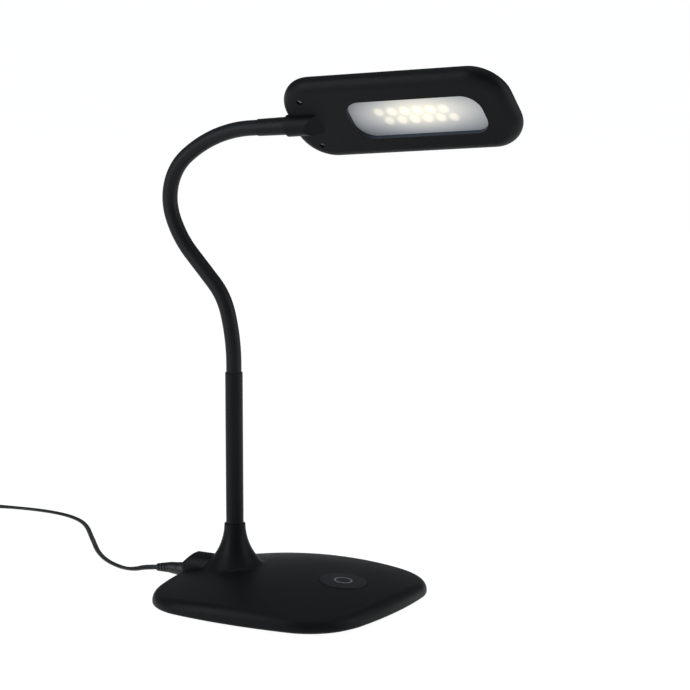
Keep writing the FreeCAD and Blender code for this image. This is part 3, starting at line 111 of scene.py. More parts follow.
# The lead's route, as in the construction, in millimetres but for its clearance
PLUG_END = Vector((-114.5, 0.0, 12.0))
RELIEF_LENGTH = 12.0
RELIEF_DROOP = 6.5
LEAD_CLEARANCE = 0.05 * MM
LEAD_STRAIGHT = 12.5
LEAD_LANDING = Vector((-152.5, 4.4, 4.6))
LEAD_ON_TABLE = (
    (-170.5, 13.4),
    (-196.0, 26.8),
    (-222.5, 51.3),
    (-252.5, 87.0),
    (-285.0, 125.4),
    (-311.0, 143.0),
    (-339.0, 149.8),
    (-371.0, 148.2),
)
LEAD_BEFORE_COIL = (-406.0, 138.0)
COIL_CENTRE = (-460.0, 85.0)
COIL_RADIUS = 32.4
COIL_PITCH = 4.75
COIL_HALF_TURNS = 6
COIL_POINTS = 6
COIL_ENTRY = 110.0
COIL_LAST_SWEEP = 90.0
COIL_LEAD_IN = 30.0
COIL_LEAD_OUT = 13.0
COIL_LOW = 2.15
COIL_STEP = 4.75
ADAPTER_RELIEF = Vector((-474.0, 29.0, 12.0))
ADAPTER_APPROACH = (Vector((-4.0, 18.0, -1.4)), Vector((0.0, 11.0, 0.0)))

# How far the lead has turned towards its edge, in degrees, at lengths in metres
ROLLS_FROM_PLUG = (
    (0.0, 62.0),
    (0.014, 62.0),
    (0.044, 4.0),
    (0.075, 0.0),
    (0.112, 0.0),
    (0.136, 38.0),
    (0.165, 4.0),
    (0.300, 0.0),
    (0.385, 90.0),
)
ROLLS_BEFORE_ADAPTER = ((0.062, 90.0), (0.018, 0.0), (0.0, 0.0))

# The lead's outline: half of each skin's arc in degrees, its steps, and the valley's height
# as a share of the skin's radius
TWIN_ARC = 112.0
TWIN_ARC_STEPS = 8
TWIN_VALLEY = 0.62
TWIN_SHARP = 60.0
LINE_STEPS = 10

# Studio, in metres
LIGHT_TINT = (0.88, 0.95, 1.0)
STUDIO_AIM = (0.0, 0.0, 0.2)
STUDIO_LAMPS = (
    ("Left", (-1.15, -1.55, 1.05), (0.7, 2.0), "left_light"),
    ("Right", (1.35, 0.55, 0.7), (0.5, 1.2), "right_light"),
    ("Top", (0.0, 0.1, 1.9), (1.6, 1.6), "top_light"),
)
FLOOR_REACH = 30.0
FLOOR_LEVEL = -0.1 * MM
FLOOR_GREY = 0.86
BACKGROUND_STRENGTH = 1.20
BACKGROUND_SHARE = 0.80
SENSOR_WIDTH = 36.0
FOCAL_PIXELS = 3000.0
PICTURE_PIXELS = 690.0
VIEW_REACH = 100.0


class LampSizes(PropertyGroup):
    """Sizes of the pieces that are made here."""

    lead_width: FloatProperty(
        name="Lead width",
        description="Width of the flat twin lead",
        default=4.2 * MM,
        min=1.0 * MM,
        unit="LENGTH",
    )
    lead_thickness: FloatProperty(
        name="Lead thickness",
        description="Thickness of the flat twin lead",
        default=2.3 * MM,
        min=0.5 * MM,
        unit="LENGTH",
    )
    lead_length: FloatProperty(
        name="Lead length",
        description="Length of the lead between its two strain reliefs",
        default=1.46,
        min=0.5,
        unit="LENGTH",
    )
    skin_radius: FloatProperty(
        name="Neck skin radius",
        description="Outer radius of the rubber skin on the flexible neck",
        default=6.15 * MM,
        min=3.0 * MM,
        unit="LENGTH",
    )
    core_radius: FloatProperty(
        name="Neck core radius",
        description="Outer radius of the coiled steel core in the flexible neck",
        default=5.1 * MM,
        min=2.0 * MM,
        unit="LENGTH",
    )
    skin_segments: IntProperty(
        name="Neck segments",
        description="Faces round the neck",
        default=40,
        min=12,
    )


class LampColours(PropertyGroup):
    """Colours and light levels of the finishes."""

    shell: FloatVectorProperty(
        name="Shell",
        description="Moulded base and head",
        subtype="COLOR",
        size=3,
        default=(0.0028, 0.0034, 0.0042),
        min=0.0,
        max=1.0,
    )
    button: FloatVectorProperty(
        name="Button",
        description="Round button cap",
        subtype="COLOR",
        size=3,
        default=(0.0052, 0.0058, 0.0066),
        min=0.0,
        max=1.0,
    )
    ring: FloatVectorProperty(
        name="Button ring",
        description="Inlaid ring on the button",
        subtype="COLOR",
        size=3,
        default=(0.150, 0.155, 0.162),
        min=0.0,
        max=1.0,
    )
    rubber: FloatVectorProperty(
        name="Rubber",
        description="Neck skin, plug and lead",
        subtype="COLOR",
        size=3,
        default=(0.0040, 0.0048, 0.0060),
        min=0.0,
        max=1.0,
    )
    led: FloatVectorProperty(
        name="Light spots",
        description="Warm light of the packages behind the frosted plate",
        subtype="COLOR",
        size=3,
        default=(1.0, 0.93, 0.76),
        min=0.0,
        max=1.0,
    )
    panel: FloatVectorProperty(
        name="Frosted plate",
        description="Cool tint of the frosted plate between the spots",
        subtype="COLOR",
        size=3,
        default=(0.88, 0.92, 1.0),
        min=0.0,
        max=1.0,
    )
    panel_glow: FloatProperty(
        name="Plate glow",
        description="Brightness of the lit plate away from the spots",
        default=0.08,
        min=0.0,
    )
    haze_glow: FloatProperty(
        name="Haze glow",
        description="Brightness of the haze round the spots",
        default=0.87,
        min=0.0,
    )
    spot_glow: FloatProperty(
        name="Spot glow",
        description="Brightness of the spots on the plate",
        default=0.27,
        min=0.0,
    )


class StudioSettings(PropertyGroup):
    """Camera and lights."""

    azimuth: FloatProperty(
        name="Azimuth",
        description="How far the camera stands round the lamp from the front",
        default=math.radians(29.9),
        subtype="ANGLE",
    )
    elevation: FloatProperty(
        name="Elevation",
        description="How far the camera looks down",
        default=math.radians(10.17),
        subtype="ANGLE",
    )
    distance: FloatProperty(
        name="Distance",
        description="From the camera to the lamp's upright plane",
        default=2.4,
        min=0.2,
        unit="LENGTH",
    )
    aim_right: FloatProperty(
        name="Aim right",
        description="How far right of the lamp's origin the camera aims",
        default=43.65 * MM,
        unit="LENGTH",
    )
    aim_up: FloatProperty(
        name="Aim up",
        description="How far above the lamp's origin the camera aims",
        default=203.67 * MM,
        unit="LENGTH",
    )
    lens: FloatProperty(
        name="Lens",
        description="Focal length in millimetres on a 36 mm frame",
        default=SENSOR_WIDTH * FOCAL_PIXELS / PICTURE_PIXELS,
        min=10.0,
    )
    world_light: FloatProperty(
        name="World light",
        description="Even light from all round",
        default=0.22,
        min=0.0,
    )
    left_light: FloatProperty(
        name="Left light",
        description="Watts of the tall soft lamp on the left",
        default=24.0,
        min=0.0,
    )
    right_light: FloatProperty(
        name="Right light",
        description="Watts of the tall soft lamp on the right",
        default=8.0,
        min=0.0,
    )
    top_light: FloatProperty(
        name="Top light",
        description="Watts of the wide soft lamp overhead",
        default=7.0,
        min=0.0,
    )


class FinishGraph:
    """A material's node tree with short calls for adding and joining nodes."""

    def __init__(self, name):
        self.material = bpy.data.materials.new(name)
        self.material.use_nodes = True
        self.tree = self.material.node_tree
        self.tree.nodes.clear()
        self.output = self.add("ShaderNodeOutputMaterial")
        self.place = self.add("ShaderNodeTexCoord").outputs["Object"]

    def add(self, kind, sockets=None, **settings):
        """Adds a node, sets its settings and its input sockets, joining those given as outputs."""
        node = self.tree.nodes.new(kind)
        for key, value in settings.items():
            setattr(node, key, value)
        for key, value in (sockets or {}).items():
            self.feed(node.inputs[key], value)
        return node

    def feed(self, socket, value):
        """Joins an output to a socket, or writes a plain value on it."""
        if isinstance(value, bpy.types.NodeSocket):
            self.tree.links.new(value, socket)
        else:
            socket.default_value = value

    def maths(self, operation, *values, clamp=False):
        """One maths node."""
        node = self.add("ShaderNodeMath", operation=operation, use_clamp=clamp)
        for socket, value in zip(node.inputs, values):
            self.feed(socket, value)
        return node.outputs[0]

    def sum_of_squares(self, first, second):
        """The squares of two values, added."""
        squares = [self.maths("MULTIPLY", value, value) for value in (first, second)]
        return self.maths("ADD", *squares)

    def noise(self, scale, detail=2.0, stretch=None):
        """Noise on the object's own coordinates; scale is in features a metre."""
        place = self.place
        if stretch:
            mapping = self.add("ShaderNodeMapping", {"Vector": place, "Scale": stretch})
            place = mapping.outputs[0]
        sockets = {"Vector": place, "Scale": scale, "Detail": detail}
        return self.add("ShaderNodeTexNoise", sockets).outputs["Fac"]

    def range(self, value, low, high, to_low, to_high, smooth=False):
        """Maps one range of numbers onto another."""
        sockets = {
            "Value": value,
            "From Min": low,
            "From Max": high,
            "To Min": to_low,
            "To Max": to_high,
        }
        node = self.add(
            "ShaderNodeMapRange",
            sockets,
            clamp=True,
            interpolation_type="SMOOTHSTEP" if smooth else "LINEAR",
        )
        return node.outputs["Result"]

    def blend_colours(self, factor, first, second):
        """Mixes two colours."""
        node = self.add("ShaderNodeMix", data_type="RGBA")
        self.feed(node.inputs["Factor"], factor)
        self.feed(node.inputs["A"], first)
        self.feed(node.inputs["B"], second)
        return node.outputs["Result"]

    def cloudy_tone(self, cloud, colour, darkest, lightest):
        """A colour that drifts between two shades of itself."""
        return self.blend_colours(
            self.range(cloud, 0.3, 0.7, 0.0, 1.0),
            opaque(lighter(colour, darkest)),
            opaque(lighter(colour, lightest)),
        )

    def bump(self, height, depth, strength=1.0):
        """Bump of a depth in metres."""
        sockets = {"Height": height, "Distance": depth, "Strength": strength}
        return self.add("ShaderNodeBump", sockets).outputs["Normal"]

    def surface(self, **sockets):
        """Finishes with a principled shader; underscores stand for spaces in the sockets' names."""
        named = {key.replace("_", " "): value for key, value in sockets.items()}
        shader = self.add("ShaderNodeBsdfPrincipled", named)
        self.tree.links.new(shader.outputs["BSDF"], self.output.inputs["Surface"])
        return self.material


def opaque(colour):
    """A colour with full alpha."""
    return (colour[0], colour[1], colour[2], 1.0)


def lighter(colour, factor):
    """A colour scaled by a factor."""
    return tuple(min(1.0, channel * factor) for channel in colour[:3])


# Finishes


def moulded_plastic(name, colour, roughness, grain, depth, specular=0.25, with_well=False):
    """Spark-textured moulded plastic: fine grain, faint cloudiness and a little uneven sheen.

    The grain is in features a metre and its depth in metres; with_well polishes the walls of
    the window's well and paints them much lighter, a painted light from the lit plate.
    """
    graph = FinishGraph(name)
    cloud = graph.noise(18.0, detail=3.0)
    fine = graph.noise(grain, detail=1.0)
    tone = graph.cloudy_tone(cloud, colour, 0.88, 1.14)
    rough = graph.maths(
        "ADD",
        graph.range(cloud, 0.3, 0.7, roughness - 0.03, roughness + 0.03),
        graph.range(fine, 0.35, 0.65, -0.04, 0.04),
    )
    if with_well:
        well = well_mask(graph)
        rough = graph.maths("MULTIPLY", rough, graph.range(well, 0.0, 1.0, 1.0, WELL_POLISH))
        # Painted light: a much lighter copy of the shell's colour on the well's walls, standing in for the lit
        # plate's light falling on them
        tone = graph.blend_colours(well, tone, opaque(lighter(colour, WELL_PAINTED_LIGHT)))
    return graph.surface(
        Base_Color=tone,
        Roughness=rough,
        Specular_IOR_Level=specular,
        Normal=graph.bump(fine, depth, 0.6),
    )


def soft_rubber(name, colour, roughness, specular):
    """Smooth flexible skin with a fine grain from the mould or the die."""
    graph = FinishGraph(name)
    cloud = graph.noise(40.0, detail=3.0)
    grain = graph.noise(900.0)
    both = graph.maths("ADD", cloud, grain)
    return graph.surface(
        Base_Color=graph.cloudy_tone(cloud, colour, 0.9, 1.12),
        Roughness=graph.range(both, 0.7, 1.3, roughness - 0.05, roughness + 0.05),
        Specular_IOR_Level=specular,
        Normal=graph.bump(grain, 0.00002, 0.5),
    )


def turned_metal(name, colour, roughness, brush=(1.0, 1.0, 8.0)):
    """Machined or drawn metal with fine tool marks."""
    graph = FinishGraph(name)
    marks = graph.noise(900.0, stretch=brush)
    cloud = graph.noise(60.0, detail=3.0)
    return graph.surface(
        Base_Color=graph.cloudy_tone(cloud, colour, 0.85, 1.08),
        Metallic=1.0,
        Roughness=graph.range(marks, 0.3, 0.7, roughness - 0.08, roughness + 0.08),
        Normal=graph.bump(marks, 0.00001, 0.4),
    )


def circuit_board(name, mask, copper):
    """Coated board with tracks showing faintly through the coating."""
    graph = FinishGraph(name)
    tracks = graph.add(
        "ShaderNodeTexBrick",
        {
            "Vector": graph.place,
            "Color1": opaque(mask),
            "Color2": opaque(lighter(mask, 1.25)),
            "Mortar": opaque(copper),
            "Scale": 160.0,
            "Mortar Size": 0.02,
        },
    )
    return graph.surface(
        Base_Color=tracks.outputs["Color"],
        Roughness=graph.range(graph.noise(300.0), 0.3, 0.7, 0.28, 0.42),
        Normal=graph.bump(tracks.outputs["Fac"], 0.00003, 0.5),
    )


def foam(name):
    """Closed-cell foam with small pits."""
    graph = FinishGraph(name)
    voronoi = graph.add("ShaderNodeTexVoronoi", {"Vector": graph.place, "Scale": 900.0})
    cells = voronoi.outputs["Distance"]
    # Painted shade: the pits are coloured darker than the ridges between them, following the bump's depth
    tone = graph.blend_colours(cells, opaque((0.012, 0.012, 0.012)), opaque((0.03, 0.03, 0.03)))
    return graph.surface(Base_Color=tone, Roughness=0.9, Normal=graph.bump(cells, 0.0002, 0.8))


def adhesive_tape(name):
    """Fibrous double-sided tape."""
    graph = FinishGraph(name)
    fibres = graph.noise(700.0, detail=3.0, stretch=(1.0, 6.0, 1.0))
    tone = graph.blend_colours(fibres, opaque((0.62, 0.6, 0.52)), opaque((0.85, 0.84, 0.78)))
    return graph.surface(Base_Color=tone, Roughness=0.55, Normal=graph.bump(fibres, 0.00005))


def head_place(graph):
    """Coordinates in the head's own frame, in millimetres, as three outputs."""
    head = head_matrix()
    sockets = {
        "Vector": graph.place,
        "Location": head.translation,
        "Rotation": head.to_euler("XYZ"),
        "Scale": (MM, MM, MM),
    }
    mapping = graph.add("ShaderNodeMapping", sockets, vector_type="TEXTURE")
    split = graph.add("ShaderNodeSeparateXYZ", {"Vector": mapping.outputs["Vector"]})
    return split.outputs["X"], split.outputs["Y"], split.outputs["Z"]


def well_mask(graph):
    """One on the walls of the window's well, which are polished and carry painted light, none elsewhere."""
    along, across, depth = head_place(graph)
    middle = (WINDOW_START + WINDOW_END) / 2
    half_length = (WINDOW_END - WINDOW_START) / 2
    from_middle = graph.maths("ABSOLUTE", graph.maths("SUBTRACT", along, middle))
    from_line = graph.maths("ABSOLUTE", across)
    mask = graph.range(depth, *WELL_FADE, 0.0, 1.0)
    for value, limit in (
        (from_middle, half_length + WELL_MARGIN),
        (from_line, WINDOW_HALF_WIDTH + WELL_MARGIN),
        (depth, WELL_DEPTH),
    ):
        mask = graph.maths("MULTIPLY", mask, graph.maths("LESS_THAN", value, limit))
    return mask


def spot_glow(graph, along, across):
    """Brightness of the spots on the plate: two rows of soft discs, half a pitch apart."""
    total = None
    for row, side in enumerate((-LED_ROW_HALF_GAP, LED_ROW_HALF_GAP)):
        first = LED_FIRST + row * LED_PITCH / 2
        middle = first + LED_PITCH * (LEDS_PER_ROW - 1) / 2
        offset = graph.maths("SUBTRACT", along, first)
        wrapped = graph.maths("WRAP", offset, LED_PITCH / 2, -LED_PITCH / 2)
        sideways = graph.maths("SUBTRACT", across, side)
        distance = graph.maths("SQRT", graph.sum_of_squares(wrapped, sideways))
        from_middle = graph.maths("ABSOLUTE", graph.maths("SUBTRACT", along, middle))
        inside = graph.maths("LESS_THAN", from_middle, LED_PITCH * LEDS_PER_ROW / 2)
        disc = graph.range(distance, SPOT_CORE, SPOT_EDGE, 1.0, 0.0, smooth=True)
        lit = graph.maths("MULTIPLY", disc, inside)
        total = lit if total is None else graph.maths("ADD", total, lit)
    return total


def frosted_plate(name, colours):
    """Frosted plate lit from behind: warm spots in a haze that cools and fades outwards."""
    graph = FinishGraph(name)
    along, across, _ = head_place(graph)
    spots = spot_glow(graph, along, across)
    parts = []
    for value, centre, reach in zip((along, across), HAZE_CENTRE, HAZE_REACH):
        parts.append(graph.maths("DIVIDE", graph.maths("SUBTRACT", value, centre), reach))
    haze = graph.maths("EXPONENT", graph.maths("MULTIPLY", graph.sum_of_squares(*parts), -1.0))
    level = graph.range(along, WINDOW_START, WINDOW_END, *GLOW_AT_ENDS)
    cool = graph.maths("MULTIPLY", level, colours.panel_glow)
    warm = graph.maths(
        "ADD",
        graph.maths("MULTIPLY", haze, colours.haze_glow),
        graph.maths("MULTIPLY", spots, colours.spot_glow),
    )
    strength = graph.maths("ADD", cool, warm)
    from_spots = graph.maths("MULTIPLY", spots, SPOT_WARMTH)
    warmth = graph.maths("ADD", haze, from_spots, clamp=True)
    colour = graph.blend_colours(warmth, opaque(colours.panel), opaque(colours.led))
    frost = graph.noise(1500.0)
    return graph.surface(
        Base_Color=opaque((0.11, 0.125, 0.14)),
        Roughness=graph.range(frost, 0.3, 0.7, 0.5, 0.62),
        Emission_Color=colour,
        Emission_Strength=strength,
        Normal=graph.bump(frost, 0.00002, 0.4),
    )


def lit_package(name, colours):
    """Light-emitting package with a phosphor face."""
    graph = FinishGraph(name)
    grain = graph.noise(2500.0)
    tone = graph.blend_colours(grain, opaque((0.85, 0.68, 0.25)), opaque((0.95, 0.8, 0.4)))
    return graph.surface(
        Base_Color=tone,
        Roughness=graph.range(grain, 0.3, 0.7, 0.35, 0.5),
        Emission_Color=opaque(colours.led),
        Emission_Strength=PACKAGE_GLOW,
    )


def finishes(colours):
    """Every finish by the name of the record's slot."""
    shell, rubber = colours.shell, colours.rubber
    cover = lighter(shell, 1.3)
    case = lighter(shell, 1.1)
    black = (0.02, 0.02, 0.02)
    white = (0.72, 0.73, 0.73)
    nylon = (0.70, 0.68, 0.62)
    green, copper = (0.02, 0.10, 0.05), (0.10, 0.22, 0.09)
    plastic = moulded_plastic
    return {
        "black_shell": plastic("Satin black plastic", shell, 0.50, 2600.0, 0.00003, 0.13, True),
        "black_button": plastic("Button plastic", colours.button, 0.45, 3200.0, 0.00002, 0.20),
        "grey_ring": plastic("Ring plastic", colours.ring, 0.40, 3000.0, 0.00001, 0.40),
        "black_cover": plastic("Cover plastic", cover, 0.6, 1500.0, 0.00004),
        "foam": foam("Foam pad"),
        "black_tube": plastic("Tube paint", shell, 0.45, 2200.0, 0.00002, 0.16),
        "sleeve": soft_rubber("Neck rubber", rubber, 0.50, 0.20),
        "link_steel": turned_metal("Core steel", (0.42, 0.42, 0.43), 0.38),
        "plated_steel": turned_metal("Plated steel", (0.40, 0.40, 0.42), 0.28),
        "weight_steel": turned_metal("Rolled steel", (0.30, 0.30, 0.31), 0.5, (1.0, 12.0, 1.0)),
        "frosted": frosted_plate("Lit frosted plate", colours),
        "led_glow": lit_package("Light package", colours),
        "board_white": plastic("White board coating", white, 0.4, 900.0, 0.00002),
        "board_green": circuit_board("Circuit board", green, copper),
        "black_parts": plastic("Component body", black, 0.42, 1800.0, 0.00002),
        "lead_skin": soft_rubber("Lead skin", rubber, 0.42, 0.35),
        "tape": adhesive_tape("Double-sided tape"),
        "nickel": turned_metal("Nickel plate", (0.70, 0.68, 0.64), 0.18),
        "adapter_case": plastic("Adapter case", case, 0.48, 1600.0, 0.00004),
        "washer_nylon": plastic("Natural nylon", nylon, 0.5, 700.0, 0.00002),
    }


def finish_named(slot):
    """The material made for one of the record's slots."""
    return bpy.data.materials[bpy.context.scene["finish_" + slot]]


def wear(piece, slot):
    """Gives a new piece the material of one of the record's slots."""
    piece.data.materials.clear()
    piece.data.materials.append(finish_named(slot))


# Shapes


def head_matrix():
    """The head's own frame: origin at its rear end on the light side, in metres."""
    joint = next(j for j in frame["joints"] if j["name"] == "head_roll")
    pitch = Matrix.Rotation(math.radians(-HEAD_PITCH), 4, "Y")
    roll = Matrix.Rotation(math.radians(-HEAD_ROLL), 4, "X")
    return Matrix.Translation(Vector(joint["pos_m"])) @ pitch @ roll


def neck_runs():
    """Runs of the neck's centre line as (length, curvature), from inside the tube."""

    def bends(table):
        return [
            (radius * math.radians(abs(turn)), math.copysign(1 / radius, turn))
            for radius, turn in table
        ]

    turned = sum(turn for _, turn in NECK_FIRST_BENDS + NECK_OVER_BENDS)
    last_turn = HEAD_PITCH - 90.0 - turned
    return [
        (NECK_IN_TUBE + NECK_FIRST_RUN, 0.0),
        *bends(NECK_FIRST_BENDS),
        (NECK_MIDDLE_RUN, 0.0),
        *bends(NECK_OVER_BENDS),
        *bends([(NECK_LAST_RADIUS, last_turn)]),
        (NECK_LAST_RUN + NECK_IN_FERRULE, 0.0),
    ]


def neck_at(length):
    """Point, in millimetres, and angle of the centre line at a length above the tube's top."""
    point = NECK_FOOT - UP * NECK_IN_TUBE
    angle = math.pi / 2
    left = length + NECK_IN_TUBE
    for run, curvature in neck_runs():
        step = min(left, run)
        turn = curvature * step
        chord = step if turn == 0 else 2 * math.sin(turn / 2) / curvature
        middle = angle + turn / 2
        point = point + Vector((math.cos(middle), 0, math.sin(middle))) * chord
        angle += turn
        left -= step
        if left <= 1e-9:
            break
    return point, angle


def neck_length():
    """Length of the neck from the tube's top to its end inside the ferrule."""
    return sum(run for run, _ in neck_runs()) - NECK_IN_TUBE


def new_object(name, mesh):
    """Puts a mesh into the scene."""
    piece = bpy.data.objects.new(name, mesh)
    bpy.context.scene.collection.objects.link(piece)
    return piece


def solid_object(name, vertices, faces, sharp_degrees):
    """Object with smooth shading but for edges sharper than an angle."""
    mesh = bpy.data.meshes.new(name)
    mesh.from_pydata(vertices, [], faces)
    mesh.validate()
    mesh.shade_smooth()
    mesh.set_sharp_from_angle(angle=math.radians(sharp_degrees))
    return new_object(name, mesh)


def neck_tube(name, low, high, outer, inner, segments):
    """Closed tube along the neck, about one ring to a millimetre."""
    count = max(2, round(high - low))
    vertices = []
    for radius in (outer, inner):
        for ring in range(count + 1):
            point, angle = neck_at(low + (high - low) * ring / count)
            point = point * MM
            normal = Vector((-math.sin(angle), 0, math.cos(angle)))
            for k in range(segments):
                turn = 2 * math.pi * k / segments
                sideways = Vector((0, radius * math.sin(turn), 0))
                vertices.append(point + normal * radius * math.cos(turn) + sideways)
    faces = []
    shift = (count + 1) * segments

    def add_face(*corners):
        faces.append([layer * shift + ring * segments + k % segments for layer, ring, k in corners])

    for k in range(segments):
        after = k + 1
        for ring in range(count):
            above = ring + 1
            add_face((0, ring, k), (0, above, k), (0, above, after), (0, ring, after))
            add_face((1, ring, k), (1, ring, after), (1, above, after), (1, above, k))
        add_face((0, 0, k), (0, 0, after), (1, 0, after), (1, 0, k))
        add_face((0, count, k), (1, count, k), (1, count, after), (0, count, after))
    return solid_object(name, vertices, faces, NECK_SHARP)


def lead_points():
    """Control points of the whole lead, in millimetres, from the plug's relief to the adapter's."""
    droop = math.radians(RELIEF_DROOP)
    out = Vector((-math.cos(droop), 0, -math.sin(droop)))
    tip = PLUG_END + out * RELIEF_LENGTH
    flat = (bpy.context.scene.lamp_sizes.lead_thickness / 2 + LEAD_CLEARANCE) / MM
    points = [tip, tip + out * LEAD_STRAIGHT, LEAD_LANDING]
    points += [Vector((x, y, flat)) for x, y in LEAD_ON_TABLE]
    points.append(Vector((*LEAD_BEFORE_COIL, (flat + COIL_LOW) / 2)))
    outwards = flat_way(COIL_ENTRY)
    start = Vector((*COIL_CENTRE, COIL_LOW)) + outwards * COIL_RADIUS
    points.append(start + Vector((outwards.y, -outwards.x, 0)) * COIL_LEAD_IN)
    coil, direction = coil_points()
    points += coil
    points.append(coil[-1] + flat_way(direction) * COIL_LEAD_OUT)
    points += [ADAPTER_RELIEF + offset for offset in ADAPTER_APPROACH]
    points.append(ADAPTER_RELIEF)
    return points


def flat_way(degrees):
    """Level unit vector at an angle."""
    turn = math.radians(degrees)
    return Vector((math.cos(turn), math.sin(turn), 0))


def coil_points():
    """The coil's control points and its last direction in degrees.

    It has half turns inwards, a climb, and half turns outwards.
    """
    step_turn = 180.0 / COIL_POINTS
    outside = 1 / math.cos(math.radians(step_turn / 2))
    half = COIL_PITCH / 2
    centre = Vector((*COIL_CENTRE, 0))
    radius = COIL_RADIUS
    angle = COIL_ENTRY
    height = COIL_LOW
    points = []

    def add_turn(sweep, rise):
        count = round(sweep / step_turn)
        for k in range(count):
            part = (k + 0.5) / count
            level = UP * (height + rise * part)
            points.append(centre + flat_way(angle + sweep * part) * radius * outside + level)

    for _ in range(COIL_HALF_TURNS):
        add_turn(180.0, 0.0)
        angle += 180.0
        radius -= half
        centre += flat_way(angle) * half
    add_turn(180.0, COIL_STEP)
    height += COIL_STEP
    angle += 180.0
    for number in range(COIL_HALF_TURNS):
        centre -= flat_way(angle) * half
        radius += half
        sweep = 180.0 if number < COIL_HALF_TURNS - 1 else COIL_LAST_SWEEP
        add_turn(sweep, 0.0)
        angle += sweep
    points.append(centre + flat_way(angle) * radius + UP * height)
    return points, angle + 90.0


def smooth_line(points):
    """Even run of points on the smooth spline that has these control points, in metres."""
    curve = bpy.data.curves.new("lead_line", "CURVE")
    curve.dimensions = "3D"
    curve.resolution_u = LINE_STEPS
    spline = curve.splines.new("NURBS")
    spline.points.add(len(points) - 1)
    for control, point in zip(spline.points, points):
        control.co = (*(point * MM), 1.0)
    spline.order_u = 3
    spline.use_endpoint_u = True
    holder = bpy.data.objects.new("lead_line", curve)
    line = bpy.data.meshes.new_from_object(holder)
    path = [vertex.co.copy() for vertex in line.vertices]
    bpy.data.objects.remove(holder)
    bpy.data.curves.remove(curve)
    bpy.data.meshes.remove(line)
    return path


def lead_roll(length, whole):
    """How far the flat lead has turned towards its edge, in radians, at a length along it."""
    rolls = list(ROLLS_FROM_PLUG)
    rolls += [(whole - before, degrees) for before, degrees in ROLLS_BEFORE_ADAPTER]
    for (start, first), (end, last) in zip(rolls, rolls[1:]):
        if length <= end:
            part = (length - start) / (end - start)
            part = part * part * (3 - 2 * part)
            return math.radians(first + (last - first) * part)
    return 0.0


def lengths_along(path):
    """Length from the start of a path to each of its points."""
    lengths = [0.0]
    for first, second in zip(path, path[1:]):
        lengths.append(lengths[-1] + (second - first).length)
    return lengths


def lie_on_table(path, width, thickness):
    """Lifts the path where the lead is turned towards its edge, so that it lies on the table."""
    lengths = lengths_along(path)
    for point, length in zip(path, lengths):
        edgeways = abs(math.sin(lead_roll(length, lengths[-1])))
        half_height = (thickness + edgeways * (width - thickness)) / 2
        point.z = max(point.z, LEAD_CLEARANCE + half_height)
    return path


def twin_section(width, thickness):
    """Outline of the flat twin lead: two round skins with a shallow valley between them."""
    radius = thickness / 2
    centre = (width - thickness) / 2
    outline = []
    for side in (1, -1):
        for k in range(TWIN_ARC_STEPS + 1):
            turn = math.radians(TWIN_ARC * (2 * k / TWIN_ARC_STEPS - 1))
            x, y = centre + radius * math.cos(turn), radius * math.sin(turn)
            outline.append((side * x, side * y))
        outline.append((0.0, side * radius * TWIN_VALLEY))
    return outline


def swept_lead(name, path, outline):
    """Closed mesh of an outline carried along a path, turned by the lead's own roll."""
    lengths = lengths_along(path)
    vertices = []
    size = len(outline)
    for number, point in enumerate(path):
        before = path[max(0, number - 1)]
        after = path[min(len(path) - 1, number + 1)]
        along = (after - before).normalized()
        side = along.cross(UP).normalized()
        over = side.cross(along)
        roll = lead_roll(lengths[number], lengths[-1])
        for x, y in outline:
            across = x * math.cos(roll) - y * math.sin(roll)
            above = x * math.sin(roll) + y * math.cos(roll)
            vertices.append(point + side * across + over * above)
    faces = []
    for ring in range(len(path) - 1):
        for k in range(size):
            a = ring * size + k
            b = ring * size + (k + 1) % size
            faces.append([a, b, b + size, a + size])
    last = (len(path) - 1) * size
    faces.append(list(reversed(range(size))))
    faces.append([last + k for k in range(size)])
    return solid_object(name, vertices, faces, TWIN_SHARP)


class LAMP_OT_finishes(Operator):
    """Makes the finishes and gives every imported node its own"""

    bl_idname = "desk_lamp.finishes"
    bl_label = "Finishes"

    def execute(self, context):
        colours = context.scene.lamp_colours
        for slot, material in finishes(colours).items():
            context.scene["finish_" + slot] = material.name
        for entry in frame["record"]["subparts"]:
            node = frame["nodes"][entry["node"]]
            node.data.materials.clear()
            node.data.materials.append(finish_named(entry["material_slot"]))
        return {"FINISHED"}


class LAMP_OT_neck(Operator):
    """Builds the neck's rubber skin and steel core, one length across each pivot"""

    bl_idname = "desk_lamp.neck"
    bl_label = "Flexible neck"

    def execute(self, context):
        sizes = context.scene.lamp_sizes
        outer, inner = sizes.skin_radius, sizes.core_radius
        round_skin, round_core = sizes.skin_segments, sizes.skin_segments // 2
        layers = (
            ("neck_skin_", outer, inner + SKIN_CLEARANCE, round_skin, "sleeve", "neck_sleeve_"),
            ("neck_core_", inner, inner - CORE_WALL, round_core, "link_steel", "neck_link_"),
        )
        for number, pivot in enumerate(NECK_PIVOTS):
            low = -NECK_IN_TUBE if number == 0 else pivot - NECK_SPACING / 2
            last = number == len(NECK_PIVOTS) - 1
            high = neck_length() if last else pivot + NECK_SPACING / 2
            start = neck_at(pivot - NECK_SPACING * BEND_SHARE)[0] * MM
            end = neck_at(pivot + NECK_SPACING * BEND_SHARE)[0] * MM
            nodes = [number + 1, number + 2] if last else [number + 1]
            for name, wide, narrow, segments, slot, kind in layers:
                piece = neck_tube(name + str(number + 1), low, high, wide, narrow, segments)
                wear(piece, slot)
                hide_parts(*[kind + str(node) for node in nodes])
                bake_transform(piece)
        return {"FINISHED"}


class LAMP_OT_lead(Operator):
    """Lays the flat twin lead from the plug over the table to the coil and the adapter"""

    bl_idname = "desk_lamp.lead"
    bl_label = "Twin lead"

    def execute(self, context):
        sizes = context.scene.lamp_sizes
        width, thickness = sizes.lead_width, sizes.lead_thickness
        path = lie_on_table(smooth_line(lead_points()), width, thickness)
        lead = swept_lead("twin_lead", path, twin_section(width, thickness))
        wear(lead, "lead_skin")
        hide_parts("cord_lead", "cord_coil", "cord_tail")
        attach(lead, "base")
        return {"FINISHED"}


